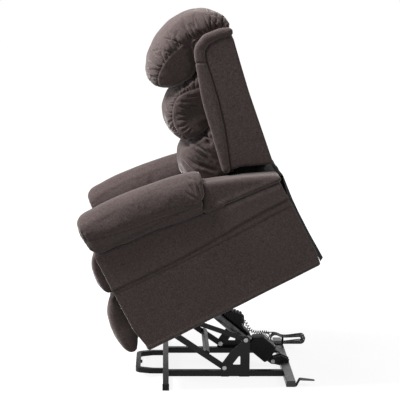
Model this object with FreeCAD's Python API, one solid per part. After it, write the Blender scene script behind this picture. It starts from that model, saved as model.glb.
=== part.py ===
import FreeCAD, Part
import math
import os

# Lift recliner chair, shown raised.  X runs to the sitter's left, Y rearwards, Z up.
# The origin is on the floor under the middle of the front cross tube.  Sizes in mm.

# Base frame
TUBE = 25.0
FRONT_TUBE_DEPTH = 24.0
FRONT_TUBE_HALF = 375.0
CAP_THICK = 6.0
CAP_FLARE = 1.5
RAIL_OUT = 187.0
REAR_TUBE_FRONT = 487.0
REAR_TUBE_DEPTH = 38.0
REAR_TUBE_HALF = 331.0
LOOP_HEIGHT = 20.0
LOOP_WIDTH = 20.0
LOOP_ROOT_HALF = 146.0
LOOP_TIP_HALF = 126.0
LOOP_REACH = 127.0
LOOP_CORNER = 34.0
BUMPER_RADIUS = 7.0
BUMPER_LENGTH = 7.0
TAIL_X = 295.0
TAIL_WIDTH = 30.0
TAIL_THICK = 3.0
TAIL_LENGTH = 78.0

# Lift linkage: pivots on the towers, links and their angles above horizontal when raised
LIFT_PIVOT = (243.0, 38.5)
GUIDE_PIVOT = (331.0, 157.0)
LIFT_LINK = 330.0
GUIDE_LINK = 395.0
LIFT_ANGLE = 34.2
GUIDE_ANGLE = 19.5
TILT = 26.97
SEAT_PIVOT = (54.8, 26.0)
TOWER_THICK = 3.5
TOWER_POST = 34.0
LINK_THICK = 5.0
LIFT_LINK_WIDTH = 25.0
GUIDE_LINK_WIDTH = 20.0
LINK_GAP = 1.0
CROSS_TUBE = 20.0
CROSS_TUBE_ALONG = 94.0
CROSS_TUBE_RISE = 9.0
PIN = 12.0
PIN_HEAD = 19.0
PIN_HEAD_THICK = 6.0
RUN_FIT = 0.05
GUIDE_SLACK = 3.4

# Actuator: pin to pin along its axis, and the offsets of what it carries
ACT_X = 38.0
ACT_PIVOT = (456.0, 27.0)
ACT_ANGLE = 40.0
ACT_LENGTH = 560.0
ACT_PIN = 10.0
ACT_TUBE_RADIUS = 22.0
ACT_TUBE_START = 132.0
ACT_TUBE_END = 400.0
ACT_ROD_RADIUS = 11.0
ACT_ROD_START = 258.0
ACT_LUG = 25.0
MOTOR_WIDTH = 70.0
MOTOR_RIB = 1.5
HEAD_THICK = 20.0
HEAD_SLOT = 30.0
HEAD_SLOT_WIDTH = 16.0
HEAD_WALL = 9.0
BOX_WIDTH = 62.0
CLEVIS_THICK = 4.0

# Seat unit, in its own axes: (along the seat rearwards, up), from the panels' front low corner
CARRIER_X = 200.0
PLATE = 5.0
RAIL = 25.0
RAIL_LOW = 190.0
DECK_THICK = 35.0
CUSHION_TOP = 450.0
SEAT_HALF = 262.0
ARM_GAP = 6.0
ARM_WIDTH = 137.0
PAD_OVERHANG = 31.0
ARM_IN = SEAT_HALF + ARM_GAP
ARM_OUT = ARM_IN + ARM_WIDTH
PAD_OUT = ARM_OUT + PAD_OVERHANG
PANEL_LENGTH = 752.0
WING_THICK = 53.0
WING_OUT = SEAT_HALF + WING_THICK
SEAM_DEPTH = 3.0
FLAP_THICK = 3.0
FLAP_HALF = ARM_IN + 32.0
SEAT_FRONT = -20.0
PAD_LENGTH = 495.0
PAD_LEAN = 49.0
REAR_RAIL = 20.0

# Back and its hinge, same axes
HINGE_SETBACK = 62.0
HINGE_HEIGHT = 335.0
HINGE = (PANEL_LENGTH - HINGE_SETBACK, HINGE_HEIGHT)
HEEL_RADIUS = 76.0
HINGE_PIN = 16.0
BACK_LOW = (HINGE[0] - 92.0, HINGE[1] - 5.0)
BACK_HIGH = (HINGE[0] + 10.0, HINGE[1] + 650.0)
SEAT_REAR = BACK_LOW[0] - 6.0

# Legrest, same axes
REST_HALF = SEAT_HALF - 12.0
BOARD = 12.0
BOARD_GAP = 0.3
REST_TOP = 411.0
REST_FOLD = 228.0

# Cords
CABLE = 5.0
CURL_WIRE = 3.6
CURL_OUTER = 15.0
CURLS = 18
HANK_X = -262.0
HANK_FRONT = 470.0
HANK_LOOPS = 7
HANK_LENGTH = 148.0
HANK_HEIGHT = 40.0
HANK_REAR_HEIGHT = 35.0
HANK_PITCH = 7.0
TIE_Y = 524.0
TIE_HEIGHT = 26.0
TIE_SQUEEZE = 0.82


def vec(x, y, z):
    return FreeCAD.Vector(x, y, z)


def turn(point, degrees):
    a = math.radians(degrees)
    y, z = point
    return (y * math.cos(a) - z * math.sin(a), y * math.sin(a) + z * math.cos(a))


def add(a, b):
    return (a[0] + b[0], a[1] + b[1])


def sub(a, b):
    return (a[0] - b[0], a[1] - b[1])


def polar(length, degrees):
    """Step forwards and up, at an angle above horizontal."""
    a = math.radians(degrees)
    return (-length * math.cos(a), length * math.sin(a))


LIFT_END = add(LIFT_PIVOT, polar(LIFT_LINK, LIFT_ANGLE))
GUIDE_END = add(GUIDE_PIVOT, polar(GUIDE_LINK, GUIDE_ANGLE))
SEAT_ORIGIN = sub(LIFT_END, turn(SEAT_PIVOT, TILT))
GUIDE_SEAT = turn(sub(GUIDE_END, SEAT_ORIGIN), -TILT)
ACT_END = add(ACT_PIVOT, polar(ACT_LENGTH, ACT_ANGLE))
ACT_SEAT = turn(sub(ACT_END, SEAT_ORIGIN), -TILT)
RAIL_TOP = RAIL_LOW + RAIL
DECK_TOP = RAIL_TOP + DECK_THICK
REAR_RAIL_FRONT = PANEL_LENGTH - REAR_RAIL + 3.0
FLAP_FRONT = PANEL_LENGTH + 16.3


def raised(shape):
    """Move a seat piece from its own axes to the raised chair."""
    place = FreeCAD.Placement(vec(0, SEAT_ORIGIN[0], SEAT_ORIGIN[1]),
                              FreeCAD.Rotation(vec(1, 0, 0), TILT))
    return shape.transformed(place.toMatrix(), True)


def along_actuator(shape):
    """Move a piece drawn with Y along the actuator and Z up across it."""
    flip = FreeCAD.Rotation(vec(0, 0, 1), 180)
    lean = FreeCAD.Rotation(vec(1, 0, 0), -ACT_ANGLE)
    place = FreeCAD.Placement(vec(ACT_X, ACT_PIVOT[0], ACT_PIVOT[1]), lean.multiply(flip))
    return shape.transformed(place.toMatrix(), True)


def mirrored(shape):
    return shape.mirror(vec(0, 0, 0), vec(1, 0, 0))


def outline(points, x=0.0):
    """Closed wire at X = x through (y, z) or (y, z, corner radius) points."""
    corners = []
    count = len(points)
    for i, point in enumerate(points):
        y, z = point[0], point[1]
        radius = point[2] if len(point) > 2 else 0.0
        if radius <= 0:
            corners.append(((y, z), None, (y, z)))
            continue
        before = sub(points[i - 1][:2], (y, z))
        after = sub(points[(i + 1) % count][:2], (y, z))
        len_b = math.hypot(*before)
        len_a = math.hypot(*after)
        ub = (before[0] / len_b, before[1] / len_b)
        ua = (after[0] / len_a, after[1] / len_a)
        half = math.acos(max(-1.0, min(1.0, ub[0] * ua[0] + ub[1] * ua[1]))) / 2
        reach = min(radius / math.tan(half), 0.49 * len_b, 0.49 * len_a)
        radius = reach * math.tan(half)
        way = (ub[0] + ua[0], ub[1] + ua[1])
        size = math.hypot(*way)
        depth = radius / math.sin(half) - radius
        middle = (y + way[0] / size * depth, z + way[1] / size * depth)
        start = (y + ub[0] * reach, z + ub[1] * reach)
        end = (y + ua[0] * reach, z + ua[1] * reach)
        corners.append((start, middle, end))
    edges = []
    for i, (start, middle, end) in enumerate(corners):
        if middle:
            arc = Part.Arc(vec(x, *start), vec(x, *middle), vec(x, *end))
            edges.append(arc.toShape())
        following = corners[(i + 1) % count][0]
        edges.append(Part.LineSegment(vec(x, *end), vec(x, *following)).toShape())
    return Part.Wire(edges)


def prism(points, x0, x1):
    face = Part.Face(outline(points, x0))
    return face.extrude(vec(x1 - x0, 0, 0))


def box(x0, x1, y0, y1, z0, z1):
    return Part.makeBox(x1 - x0, y1 - y0, z1 - z0, vec(x0, y0, z0))


def rod(centre, radius, x0, x1):
    """Cylinder along X about a (y, z) centre."""
    return Part.makeCylinder(radius, x1 - x0, vec(x0, centre[0], centre[1]), vec(1, 0, 0))


def tube_bar(x0, x1, y0, y1, z0, z1, along, radius=2.0):
    """Rectangular tube with rounded long edges."""
    bar = box(x0, x1, y0, y1, z0, z1)
    axis = {"x": vec(1, 0, 0), "y": vec(0, 1, 0)}[along]
    edges = []
    for edge in bar.Edges:
        way = edge.tangentAt(edge.FirstParameter)
        if abs(way.dot(axis)) > 0.99:
            edges.append(edge)
    return bar.makeFillet(radius, edges)


def loft(sections):
    """Smooth solid through (x, points) sections with alike corners."""
    wires = [outline(points, x) for x, points in sections]
    solid = Part.makeLoft(wires, True, False)
    if solid.Volume < 0:
        solid.reverse()
    return solid


# Base frame
def front_tube():
    return tube_bar(-FRONT_TUBE_HALF, FRONT_TUBE_HALF, -FRONT_TUBE_DEPTH / 2,
                    FRONT_TUBE_DEPTH / 2, 0, TUBE, "x")


def front_cap():
    wide = FRONT_TUBE_DEPTH / 2 + CAP_FLARE
    cap = box(FRONT_TUBE_HALF, FRONT_TUBE_HALF + CAP_THICK, -wide, wide, 0, TUBE + 2.0)
    outer = [e for e in cap.Edges if e.BoundBox.XMin > FRONT_TUBE_HALF + CAP_THICK - 0.1]
    return cap.makeFillet(2.0, outer)


def rail():
    return tube_bar(RAIL_OUT - TUBE, RAIL_OUT, FRONT_TUBE_DEPTH / 2, REAR_TUBE_FRONT,
                    0, TUBE, "y")


def rear_tube():
    return tube_bar(-REAR_TUBE_HALF, REAR_TUBE_HALF, REAR_TUBE_FRONT,
                    REAR_TUBE_FRONT + REAR_TUBE_DEPTH, 0, TUBE, "x")


def loop_face(root, tip, reach, corner):
    """Plan outline of the front loop, closed along the front tube."""
    start = -FRONT_TUBE_DEPTH / 2
    bend = start - 0.45 * (reach + start)
    points = [(start, -root), (bend, -root, 60), (-reach, -tip, corner),
              (-reach, tip, corner), (bend, root, 60), (start, root)]
    wire = outline(points)
    turned = wire.copy()
    turned.transformShape(FreeCAD.Placement(vec(0, 0, 0),
                                            FreeCAD.Rotation(vec(0, 1, 0), 90)).toMatrix())
    return Part.Face(turned)


def front_loop():
    outer = loop_face(LOOP_ROOT_HALF, LOOP_TIP_HALF, LOOP_REACH, LOOP_CORNER)
    inner = loop_face(LOOP_ROOT_HALF - LOOP_WIDTH, LOOP_TIP_HALF - LOOP_WIDTH,
                      LOOP_REACH - LOOP_WIDTH, LOOP_CORNER - LOOP_WIDTH)
    solids = [face.extrude(vec(0, 0, LOOP_HEIGHT)) for face in (outer, inner)]
    loop = solids[0].cut(solids[1])
    top = [e for e in loop.Edges
           if e.BoundBox.ZMin > LOOP_HEIGHT - 0.1 and e.BoundBox.YMin < -FRONT_TUBE_DEPTH / 2 - 0.1]
    return loop.makeFillet(2.0, top)


def loop_bumper():
    inner = -LOOP_REACH + LOOP_WIDTH
    stud = Part.makeCylinder(BUMPER_RADIUS, BUMPER_LENGTH,
                             vec(0, inner, LOOP_HEIGHT / 2), vec(0, 1, 0))
    tip = [e for e in stud.Edges if e.BoundBox.YMin > inner + BUMPER_LENGTH - 0.1]
    return stud.makeFillet(2.0, tip)


def tower():
    """Stamped plate outside the rail: post, diagonal and two feet over the rail."""
    py, pz = LIFT_PIVOT
    gy, gz = GUIDE_PIVOT
    back = gy + TOWER_POST / 2
    left = py - 14.0
    points = [(left, 0, 2), (left + 34, 0, 2), (left + 34, 4.5, 2),
              (back - 44, 4.5, 2), (back - 44, 0, 2), (back, 0, 2), (back, gz, 3),
              (gy - 15, gz - 7, 3), (gy - 61, gz - 47.5, 20), (py - 7, pz + 23, 8),
              (left, pz + 8, 8)]
    x0, x1 = RAIL_OUT, RAIL_OUT + TOWER_THICK
    plate = prism(points, x0, x1)
    plate = plate.fuse([rod(LIFT_PIVOT, 15, x0, x1), rod(GUIDE_PIVOT, TOWER_POST / 2, x0, x1)])
    gap = [(py + 33, pz + 13, 3), (back - 39, pz + 13, 3), (back - 39, pz + 57, 4)]
    plate = plate.cut([prism(gap, x0 - 1, x1 + 1), rod(LIFT_PIVOT, PIN / 2, x0 - 1, x1 + 1),
                       rod(GUIDE_PIVOT, PIN / 2, x0 - 1, x1 + 1)])
    return plate.removeSplitter()


LINK_OUT = RAIL_OUT - LINK_GAP
LINK_IN = LINK_OUT - LINK_THICK


def hexagon(centre, flats, x0, x1):
    radius = flats / math.sqrt(3)
    points = []
    for k in range(6):
        a = math.radians(60 * k + 15)
        points.append((centre[0] + radius * math.cos(a), centre[1] + radius * math.sin(a)))
    return prism(points, x0, x1)


def pivot_bolt(centre, seat_in, seat_out):
    """Shoulder bolt: head outside the plate, spacer inside it, nut inside the link."""
    head = rod(centre, PIN_HEAD / 2, seat_out, seat_out + PIN_HEAD_THICK)
    rim = [e for e in head.Edges if e.BoundBox.XMin > seat_out + PIN_HEAD_THICK - 0.1]
    head = head.makeFillet(1.5, rim)
    shank = rod(centre, PIN / 2, LINK_IN - 7.0, seat_out)
    spacer = rod(centre, PIN_HEAD / 2 - 0.5, LINK_OUT + 0.3, seat_in)
    nut = hexagon(centre, PIN_HEAD, LINK_IN - 7.0, LINK_IN - 0.5)
    return head.fuse([shank, spacer, nut]).removeSplitter()


def tail_bracket():
    """Bent strip behind the rear tube."""
    y = REAR_TUBE_FRONT + REAR_TUBE_DEPTH
    t = TAIL_THICK
    path = [(y, 0.5), (y + 5, 0.5, 2), (y + 18, 26, 4), (y + TAIL_LENGTH, 21),
            (y + TAIL_LENGTH, 21 + t), (y + 17, 26 + t, 6), (y + 3, 0.5 + t, 2), (y, 0.5 + t)]
    strip = prism(path, TAIL_X, TAIL_X + TAIL_WIDTH)
    x0, x1 = TAIL_X - 1, TAIL_X + TAIL_WIDTH + 1
    far = y + TAIL_LENGTH + 1
    cut_a = Part.Face(Part.makePolygon([vec(x0, y + 24, -5), vec(x0, far, -5),
                                        vec(TAIL_X + 8, far, -5), vec(x0, y + 24, -5)]))
    cut_b = Part.Face(Part.makePolygon([vec(x1, y + 24, -5), vec(x1, far, -5),
                                        vec(TAIL_X + TAIL_WIDTH - 8, far, -5),
                                        vec(x1, y + 24, -5)]))
    return strip.cut([cut_a.extrude(vec(0, 0, 60)), cut_b.extrude(vec(0, 0, 60))])


def actuator_mount():
    """Two lugs welded to the rear tube, joined by a web on top of it."""
    ay, az = ACT_PIVOT
    front = REAR_TUBE_FRONT
    back = front + REAR_TUBE_DEPTH
    points = [(ay - 4, az - 11, 6), (front, 8, 3), (front, TUBE), (back, TUBE), (back, TUBE + 11, 3),
              (front + 2, az + 25, 6), (ay + 2, az + 16, 10), (ay - 11, az + 4, 8)]
    inner = ACT_LUG / 2 + 0.5
    lugs = []
    for side in (-1, 1):
        x = ACT_X + side * (inner + CLEVIS_THICK / 2)
        lug = prism(points, x - CLEVIS_THICK / 2, x + CLEVIS_THICK / 2)
        lugs.append(lug.cut(rod(ACT_PIVOT, ACT_PIN / 2, x - 9, x + 9)))
    wide = inner + CLEVIS_THICK
    web = box(ACT_X - wide, ACT_X + wide, front + 10, back, TUBE, TUBE + CLEVIS_THICK)
    return lugs[0].fuse([lugs[1], web]).removeSplitter()


def cross_pin(centre, radius, middle, half, head):
    """Plain pin with a head at each end."""
    pin = rod(centre, radius, middle - half, middle + half)
    heads = [rod(centre, radius + 3, middle - half - head, middle - half),
             rod(centre, radius + 3, middle + half, middle + half + head)]
    return pin.fuse(heads)


def actuator_pin():
    half = ACT_LUG / 2 + 0.5 + CLEVIS_THICK
    return cross_pin(ACT_PIVOT, ACT_PIN / 2, ACT_X, half, 5.0)


# Links
def link(pivot, angle, length, width, slack=0.0):
    """Flat bar with round ends; slack opens the hole at the seat end."""
    half = width / 2
    end = rod((0, 0), half, LINK_IN, LINK_OUT)
    far = rod((length, 0), half, LINK_IN, LINK_OUT)
    bar = box(LINK_IN, LINK_OUT, 0, length, -half, half)
    if slack > 0:
        far = rod((length, 0), PIN / 2 + slack + 7, LINK_IN, LINK_OUT)
    solid = bar.fuse([end, far])
    solid = solid.cut([rod((0, 0), PIN / 2 + RUN_FIT, LINK_IN - 1, LINK_OUT + 1),
                       rod((length, 0), PIN / 2 + RUN_FIT + slack, LINK_IN - 1, LINK_OUT + 1)])
    lean = FreeCAD.Rotation(vec(1, 0, 0), 180 - angle)
    place = FreeCAD.Placement(vec(0, pivot[0], pivot[1]), lean)
    return solid.removeSplitter().transformed(place.toMatrix(), True)


def link_tube():
    """Square tube that joins the two lower links."""
    step = polar(CROSS_TUBE_ALONG, LIFT_ANGLE)
    a = math.radians(LIFT_ANGLE)
    rise = (CROSS_TUBE_RISE * math.sin(a), CROSS_TUBE_RISE * math.cos(a))
    cy, cz = add(add(LIFT_PIVOT, step), rise)
    h = CROSS_TUBE / 2
    bar = tube_bar(-LINK_IN, LINK_IN, -h, h, -h, h, "x")
    place = FreeCAD.Placement(vec(0, cy, cz), FreeCAD.Rotation(vec(1, 0, 0), -LIFT_ANGLE))
    return bar.transformed(place.toMatrix(), True)


# Actuator
def actuator_motor():
    """Gear and motor housing with its rear lug, drawn along the actuator."""
    w = MOTOR_WIDTH / 2
    body = prism([(24, -24, 8), (ACT_TUBE_START, -24, 6), (ACT_TUBE_START, 27, 8), (101, 57, 14),
                  (34, 56, 12), (24, 30, 8)], -w, w)
    rims = [e for e in body.Edges
            if abs(abs(e.CenterOfMass.x) - w) < 0.1]
    body = body.makeFillet(3.0, rims)
    lug = prism([(-13, -13, 12), (30, -18, 3), (30, 18, 3), (-13, 13, 12)],
                -ACT_LUG / 2, ACT_LUG / 2)
    ribs = []
    for k in range(5):
        s = 44 + 11 * k
        ribs.append(box(-w - MOTOR_RIB, w + MOTOR_RIB, s, s + 4, -8, 40))
    solid = body.fuse([lug] + ribs)
    solid = solid.cut(rod((0, 0), ACT_PIN / 2 + RUN_FIT, -60, 60))
    return along_actuator(solid.removeSplitter())


def actuator_tube():
    """Outer tube with its end collar, bored for the rod."""
    y = vec(0, 1, 0)
    r = ACT_TUBE_RADIUS
    solid = Part.makeCylinder(r, ACT_TUBE_END - ACT_TUBE_START, vec(0, ACT_TUBE_START, 0), y)
    collar = Part.makeCylinder(r + 3, 16, vec(0, ACT_TUBE_END - 16, 0), y)
    root = Part.makeCylinder(r + 2, 18, vec(0, ACT_TUBE_START, 0), y)
    bore = Part.makeCylinder(ACT_ROD_RADIUS + RUN_FIT, ACT_TUBE_END - ACT_TUBE_START,
                             vec(0, ACT_TUBE_START + 10, 0), y)
    return along_actuator(solid.fuse([collar, root]).cut(bore).removeSplitter())


def control_box():
    """Ribbed wedge that rides on the tube."""
    w = BOX_WIDTH / 2
    low = ACT_TUBE_RADIUS + 2.3
    shell = prism([(152, low, 2), (294, low, 4), (292, low + 12, 6), (279, 57, 8), (232, 73, 8),
                   (208, 40, 10), (194, 33, 6), (152, low + 5, 2)], -w, w)
    rims = [e for e in shell.Edges
            if abs(abs(e.CenterOfMass.x) - w) < 0.1]
    shell = shell.makeFillet(2.0, rims)
    saddle = box(-10, 10, 226, 286, ACT_TUBE_RADIUS - 3, low + 1)
    tube = Part.makeCylinder(ACT_TUBE_RADIUS, 400, vec(0, 100, 0), vec(0, 1, 0))
    shell = shell.fuse(saddle.cut(tube))
    grooves = []
    for k in range(4):
        s = 226 + 13 * k
        top = 73 - 0.34 * (s - 232)
        grooves.append(box(-w - 1, w + 1, s, s + 5, top - 4, top + 12))
    return along_actuator(shell.cut(grooves).removeSplitter())


def actuator_rod():
    """Piston rod with a slotted head, so that it can't pull the seat down."""
    y = vec(0, 1, 0)
    reach = HEAD_SLOT_WIDTH / 2 + HEAD_WALL
    tall = HEAD_SLOT / 2 + HEAD_WALL
    piston = Part.makeCylinder(ACT_ROD_RADIUS, ACT_LENGTH - reach + 2 - ACT_ROD_START,
                               vec(0, ACT_ROD_START, 0), y)
    c = ACT_LENGTH
    head = prism([(c - reach, -tall, 10), (c + reach, -tall, 14), (c + reach, tall, 14),
                  (c - reach, tall, 10)], -HEAD_THICK / 2, HEAD_THICK / 2)
    w = HEAD_SLOT_WIDTH / 2
    s = HEAD_SLOT / 2
    slot = prism([(c - w, -s, w), (c + w, -s, w), (c + w, s, w), (c - w, s, w)], -20, 20)
    return along_actuator(piston.fuse(head).cut(slot).removeSplitter())


# Seat unit
def carrier():
    """Seat rail with the plate that holds both link pivots."""
    x = CARRIER_X
    sy, sz = SEAT_PIVOT
    gy, gz = GUIDE_SEAT
    points = [(sy - 16, sz, 4), (sy - 8, RAIL_TOP, 4), (gy + 128, RAIL_TOP, 4),
              (gy + 128, RAIL_LOW, 10), (gy + 26, gz + 4, 20), (sy + 15, sz - 5, 4)]
    plate = prism(points, x, x + PLATE)
    plate = plate.fuse([rod(SEAT_PIVOT, 16, x, x + PLATE), rod(GUIDE_SEAT, 16, x, x + PLATE)])
    plate = plate.cut([rod(SEAT_PIVOT, PIN / 2, x - 1, x + PLATE + 1),
                       rod(GUIDE_SEAT, PIN / 2, x - 1, x + PLATE + 1)])
    rail_bar = tube_bar(x, x + RAIL, SEAT_FRONT + 24, REAR_RAIL_FRONT, RAIL_LOW, RAIL_TOP, "y", 2.0)
    return raised(plate.fuse(rail_bar).removeSplitter())


def carrier_tube():
    cy = ACT_SEAT[0]
    h = RAIL / 2
    return raised(tube_bar(-CARRIER_X, CARRIER_X, cy - h, cy + h, RAIL_LOW, RAIL_TOP, "x"))


def seat_clevis():
    """Lugs under the carrier tube for the rod's pin."""
    cy, cz = ACT_SEAT
    inner = HEAD_THICK / 2 + 1.0
    points = [(cy - 16, cz, 6), (cy - 24, RAIL_LOW), (cy + 24, RAIL_LOW), (cy + 16, cz, 6),
              (cy + 8, cz - 14, 8), (cy - 8, cz - 14, 8)]
    lugs = []
    for side in (-1, 1):
        x = ACT_X + side * (inner + PLATE / 2)
        lug = prism(points, x - PLATE / 2, x + PLATE / 2)
        lugs.append(lug.cut(rod(ACT_SEAT, ACT_PIN / 2, x - 9, x + 9)))
    wide = inner + PLATE
    web = box(ACT_X - wide, ACT_X + wide, cy - 14, cy + 14, RAIL_LOW - 4, RAIL_LOW)
    return raised(lugs[0].fuse([lugs[1], web]).removeSplitter())


def seat_clevis_pin():
    half = HEAD_THICK / 2 + 1.0 + PLATE
    return raised(cross_pin(ACT_SEAT, ACT_PIN / 2, ACT_X, half, 4.0))


PANEL_SEAM = [(-60, 432), (-5.6, 430), (214, 416), (431, 390), (PANEL_LENGTH - 1, 368.5),
              (PANEL_LENGTH + 48, 368.5)]


def panel_top(along):
    """Height of the side panel's upper seam."""
    for (a, ha), (b, hb) in zip(PANEL_SEAM, PANEL_SEAM[1:]):
        if along <= b:
            return ha + (hb - ha) * (along - a) / (b - a)
    return PANEL_SEAM[-1][1]


def side_panel():
    """Padded outer panel under the arm, with the double seam across it."""
    top = PANEL_LENGTH
    points = [(0, 0, 8), (top, 1, 8), (top + 14, 250, 60), (top + 16, 366, 2)]
    points += PANEL_SEAM[4:0:-1]
    points += [(-22, 432, 4), (-20.7, 415, 20), (-19.8, 94.5, 60)]
    panel = prism(points, ARM_IN, ARM_OUT)
    rims = [e for e in panel.Edges
            if abs(e.CenterOfMass.x - ARM_OUT) < 0.1 and e.CenterOfMass.z < 360]
    panel = panel.makeFillet(9.0, rims)
    d = SEAM_DEPTH
    grooves = []
    for drop in (0.0, 14.0):
        band = [(-40, 276.6 - drop), (top + 30, 270.8 - drop), (top + 30, 268.3 - drop),
                (-40, 274.1 - drop)]
        grooves.append(prism(band, ARM_OUT - d, ARM_OUT + 1))
    return raised(panel.cut(grooves))


def arm_section(low, high, grow, lean=0.0):
    """Arm pad across the chair: (x, z) corners, drawn in by grow."""
    mid = (ARM_IN + PAD_OUT) / 2
    inner = mid - (mid - ARM_IN - 2) * grow
    outer = mid + (PAD_OUT - mid) * grow
    wide = outer - inner
    base = mid + (ARM_OUT + 4 - mid) * grow
    tall = high - low
    return [(inner + 0.06 * wide, low, 14), (inner, low + 0.38 * tall, 30),
            (inner + 0.07 * wide, high - 0.2 * tall, 34), (inner + 0.34 * wide, high, 60),
            (inner + 0.7 * wide, high - 0.01 * tall, 60), (outer - 0.05 * wide, high - 0.22 * tall, 34),
            (outer, low + 0.42 * tall, 30), (base, low, 14)]


def loft_y(sections):
    """Smooth solid through (y, (x, z) points) sections."""
    wires = []
    for y, points in sections:
        wire = outline(points)
        place = FreeCAD.Placement(vec(0, y, 0), FreeCAD.Rotation(vec(0, 0, 1), -90))
        wires.append(wire.transformed(place.toMatrix(), True))
    solid = Part.makeLoft(wires, True, False)
    if solid.Volume < 0:
        solid.reverse()
    return solid


ARM_TOP = [(-27, 562, 0.74), (-19, 584, 0.88), (2, 596, 0.95), (42, 603, 0.985), (115, 604, 1.0),
           (214, 599, 1.0), (326, 585.5, 1.0), (427, 568, 0.985), (475, 556, 0.96), (520, 538, 0.92)]


def arm_pad():
    """Thick pad over the front of the arm, drooping over both its sides."""
    sections = []
    for along, high, grow in ARM_TOP:
        low = panel_top(along)
        if along < 0:
            low += (0 - along) * 1.1
        sections.append((along, arm_section(low, high, grow)))
    pad = loft_y(sections)
    foot = PAD_LENGTH - PAD_LEAN
    far = PANEL_LENGTH + 150
    edge = [(PAD_LENGTH, 536), (foot, 405), (foot - 16, 340), (far, 340), (far, 700),
            (PAD_LENGTH + 45, 700)]
    pad = pad.cut(prism(edge, ARM_IN - 40, PAD_OUT + 40))
    below = [(-60, 300), (PANEL_LENGTH + 48, 300)] + PANEL_SEAM[::-1]
    return raised(pad.cut(prism(below, ARM_IN - 40, PAD_OUT + 40)))


def arm_rear():
    """Low rear part of the arm, behind the pad."""
    foot = PAD_LENGTH - PAD_LEAN + 1
    end = PANEL_LENGTH + 15
    crest = PAD_LENGTH + 0.55 * (end - PAD_LENGTH)
    points = [(foot, panel_top(foot)), (end - 16, panel_top(end - 16)), (end, panel_top(end), 2),
              (end + 1, 394, 18), (crest, 445, 60), (PAD_LENGTH - 0.5, 498),
              (PAD_LENGTH - 9, 505, 3), (foot, 407.6)]
    block = prism(points, ARM_IN + 4, ARM_OUT - 2)
    rims = [e for e in block.Edges
            if min(abs(e.CenterOfMass.x - ARM_OUT + 2), abs(e.CenterOfMass.x - ARM_IN - 4)) < 0.1
            and e.CenterOfMass.z > 400 and e.CenterOfMass.y > 496]
    return raised(block.makeFillet(12.0, rims))


def seat_deck():
    """Deck board with the front rail below it."""
    plate = box(-ARM_IN, ARM_IN, SEAT_FRONT, SEAT_REAR, RAIL_TOP, DECK_TOP)
    front = box(-ARM_IN, ARM_IN, SEAT_FRONT, SEAT_FRONT + 22, RAIL_LOW - 45, DECK_TOP)
    return raised(plate.fuse(front).removeSplitter())


def rear_rail():
    rail_board = box(-ARM_IN, ARM_IN, REAR_RAIL_FRONT, REAR_RAIL_FRONT + REAR_RAIL, 60, 250)
    return raised(rail_board)


def seat_cushion():
    """Seat cushion with a crowned top and drawn-in sides."""
    sections = []
    for share, sink in ((-1, 30), (-0.95, 15), (-0.8, 7), (-0.45, 2), (0, 0), (0.45, 2), (0.8, 7),
                        (0.95, 15), (1, 30)):
        x = SEAT_HALF * share
        top = CUSHION_TOP - sink
        f = SEAT_FRONT + 2.5 + 0.3 * sink
        r = SEAT_REAR - 1.5 - 0.3 * sink
        points = [(f, DECK_TOP, 6), (f, DECK_TOP + 90, 50), (f + 6, top - 20, 26),
                  (f + 60, top, 60), (f + 300, top + 2, 100), (r - 60, top - 12, 60),
                  (r - 5, top - 34, 26), (r, DECK_TOP, 6)]
        sections.append((x, points))
    return raised(loft(sections))


def rear_flap():
    """Cloth behind the seat box: loose at its top, drawn in to the panels and hanging below."""
    a = FLAP_FRONT
    t = FLAP_THICK
    line = [(14, 360, 0), (9, 318, 60), (3, 282, 80), (-4, 215, 60), (-5.6, 150, 200),
            (-5.6, 60, 200), (1, -12, 0)]
    points = [(a + y, z, r) for y, z, r in line] + [(a + y + t, z, r) for y, z, r in line[::-1]]
    return raised(prism(points, -FLAP_HALF, FLAP_HALF))


# Back
def from_hinge(points):
    """Profile points given from the back's hinge: rearwards, up and an optional radius."""
    return [(HINGE[0] + p[0], HINGE[1] + p[1]) + tuple(p[2:]) for p in points]


BACK_REAR = [(82, 108, 6), (120, 393, 400), (163, 640, 14), (126, 656, 10), (60, 663, 20)]


def back_core():
    """Upholstered back frame with its round heel on the hinge."""
    heel = [(-78, -43, 10), (0, 0.5 - HEEL_RADIUS), (32, 65), (34, 93, 4)]
    points = [BACK_LOW + (6,)] + from_hinge(heel + BACK_REAR + [(12, 655, 6)])
    core = prism(points, -SEAT_HALF, SEAT_HALF)
    core = core.fuse(rod(HINGE, HEEL_RADIUS, -SEAT_HALF, SEAT_HALF))
    core = core.cut(rod(HINGE, HINGE_PIN / 2 + RUN_FIT, -SEAT_HALF - 1, SEAT_HALF + 1))
    return raised(core.removeSplitter())


def hinge_pin():
    return raised(rod(HINGE, HINGE_PIN / 2, -ARM_IN, ARM_IN))


def wing():
    """Side of the back: flat panel with a padded band along its front edge."""
    front = [(-109, 149, 14), (-98, 215, 200), (-60, 440, 500), (3, 634, 60), (60, 663, 30),
             (126.5, 656, 20)]
    rear = [(163, 640, 14), (120, 393, 400), (80, 92, 8), (-44, 144, 60)]
    side = prism(from_hinge(front + rear), SEAT_HALF, WING_OUT)
    rims = [e for e in side.Edges if abs(e.CenterOfMass.x - WING_OUT) < 0.1]
    side = side.makeFillet(7.0, rims)
    line = [(-79, 130), (-76, 165), (-29, 305), (-1, 419), (14, 505), (22, 559), (28, 590),
            (39, 611), (61, 626), (104, 627), (166, 614)]
    seam = line + [(y + 2.4, z - 0.8) for y, z in line[::-1]]
    return raised(side.cut(prism(from_hinge(seam), WING_OUT - SEAM_DEPTH, WING_OUT + 1)))


def back_axes():
    along = sub(BACK_HIGH, BACK_LOW)
    size = math.hypot(*along)
    t = (along[0] / size, along[1] / size)
    n = (-t[1], t[0])
    return t, n


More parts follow.
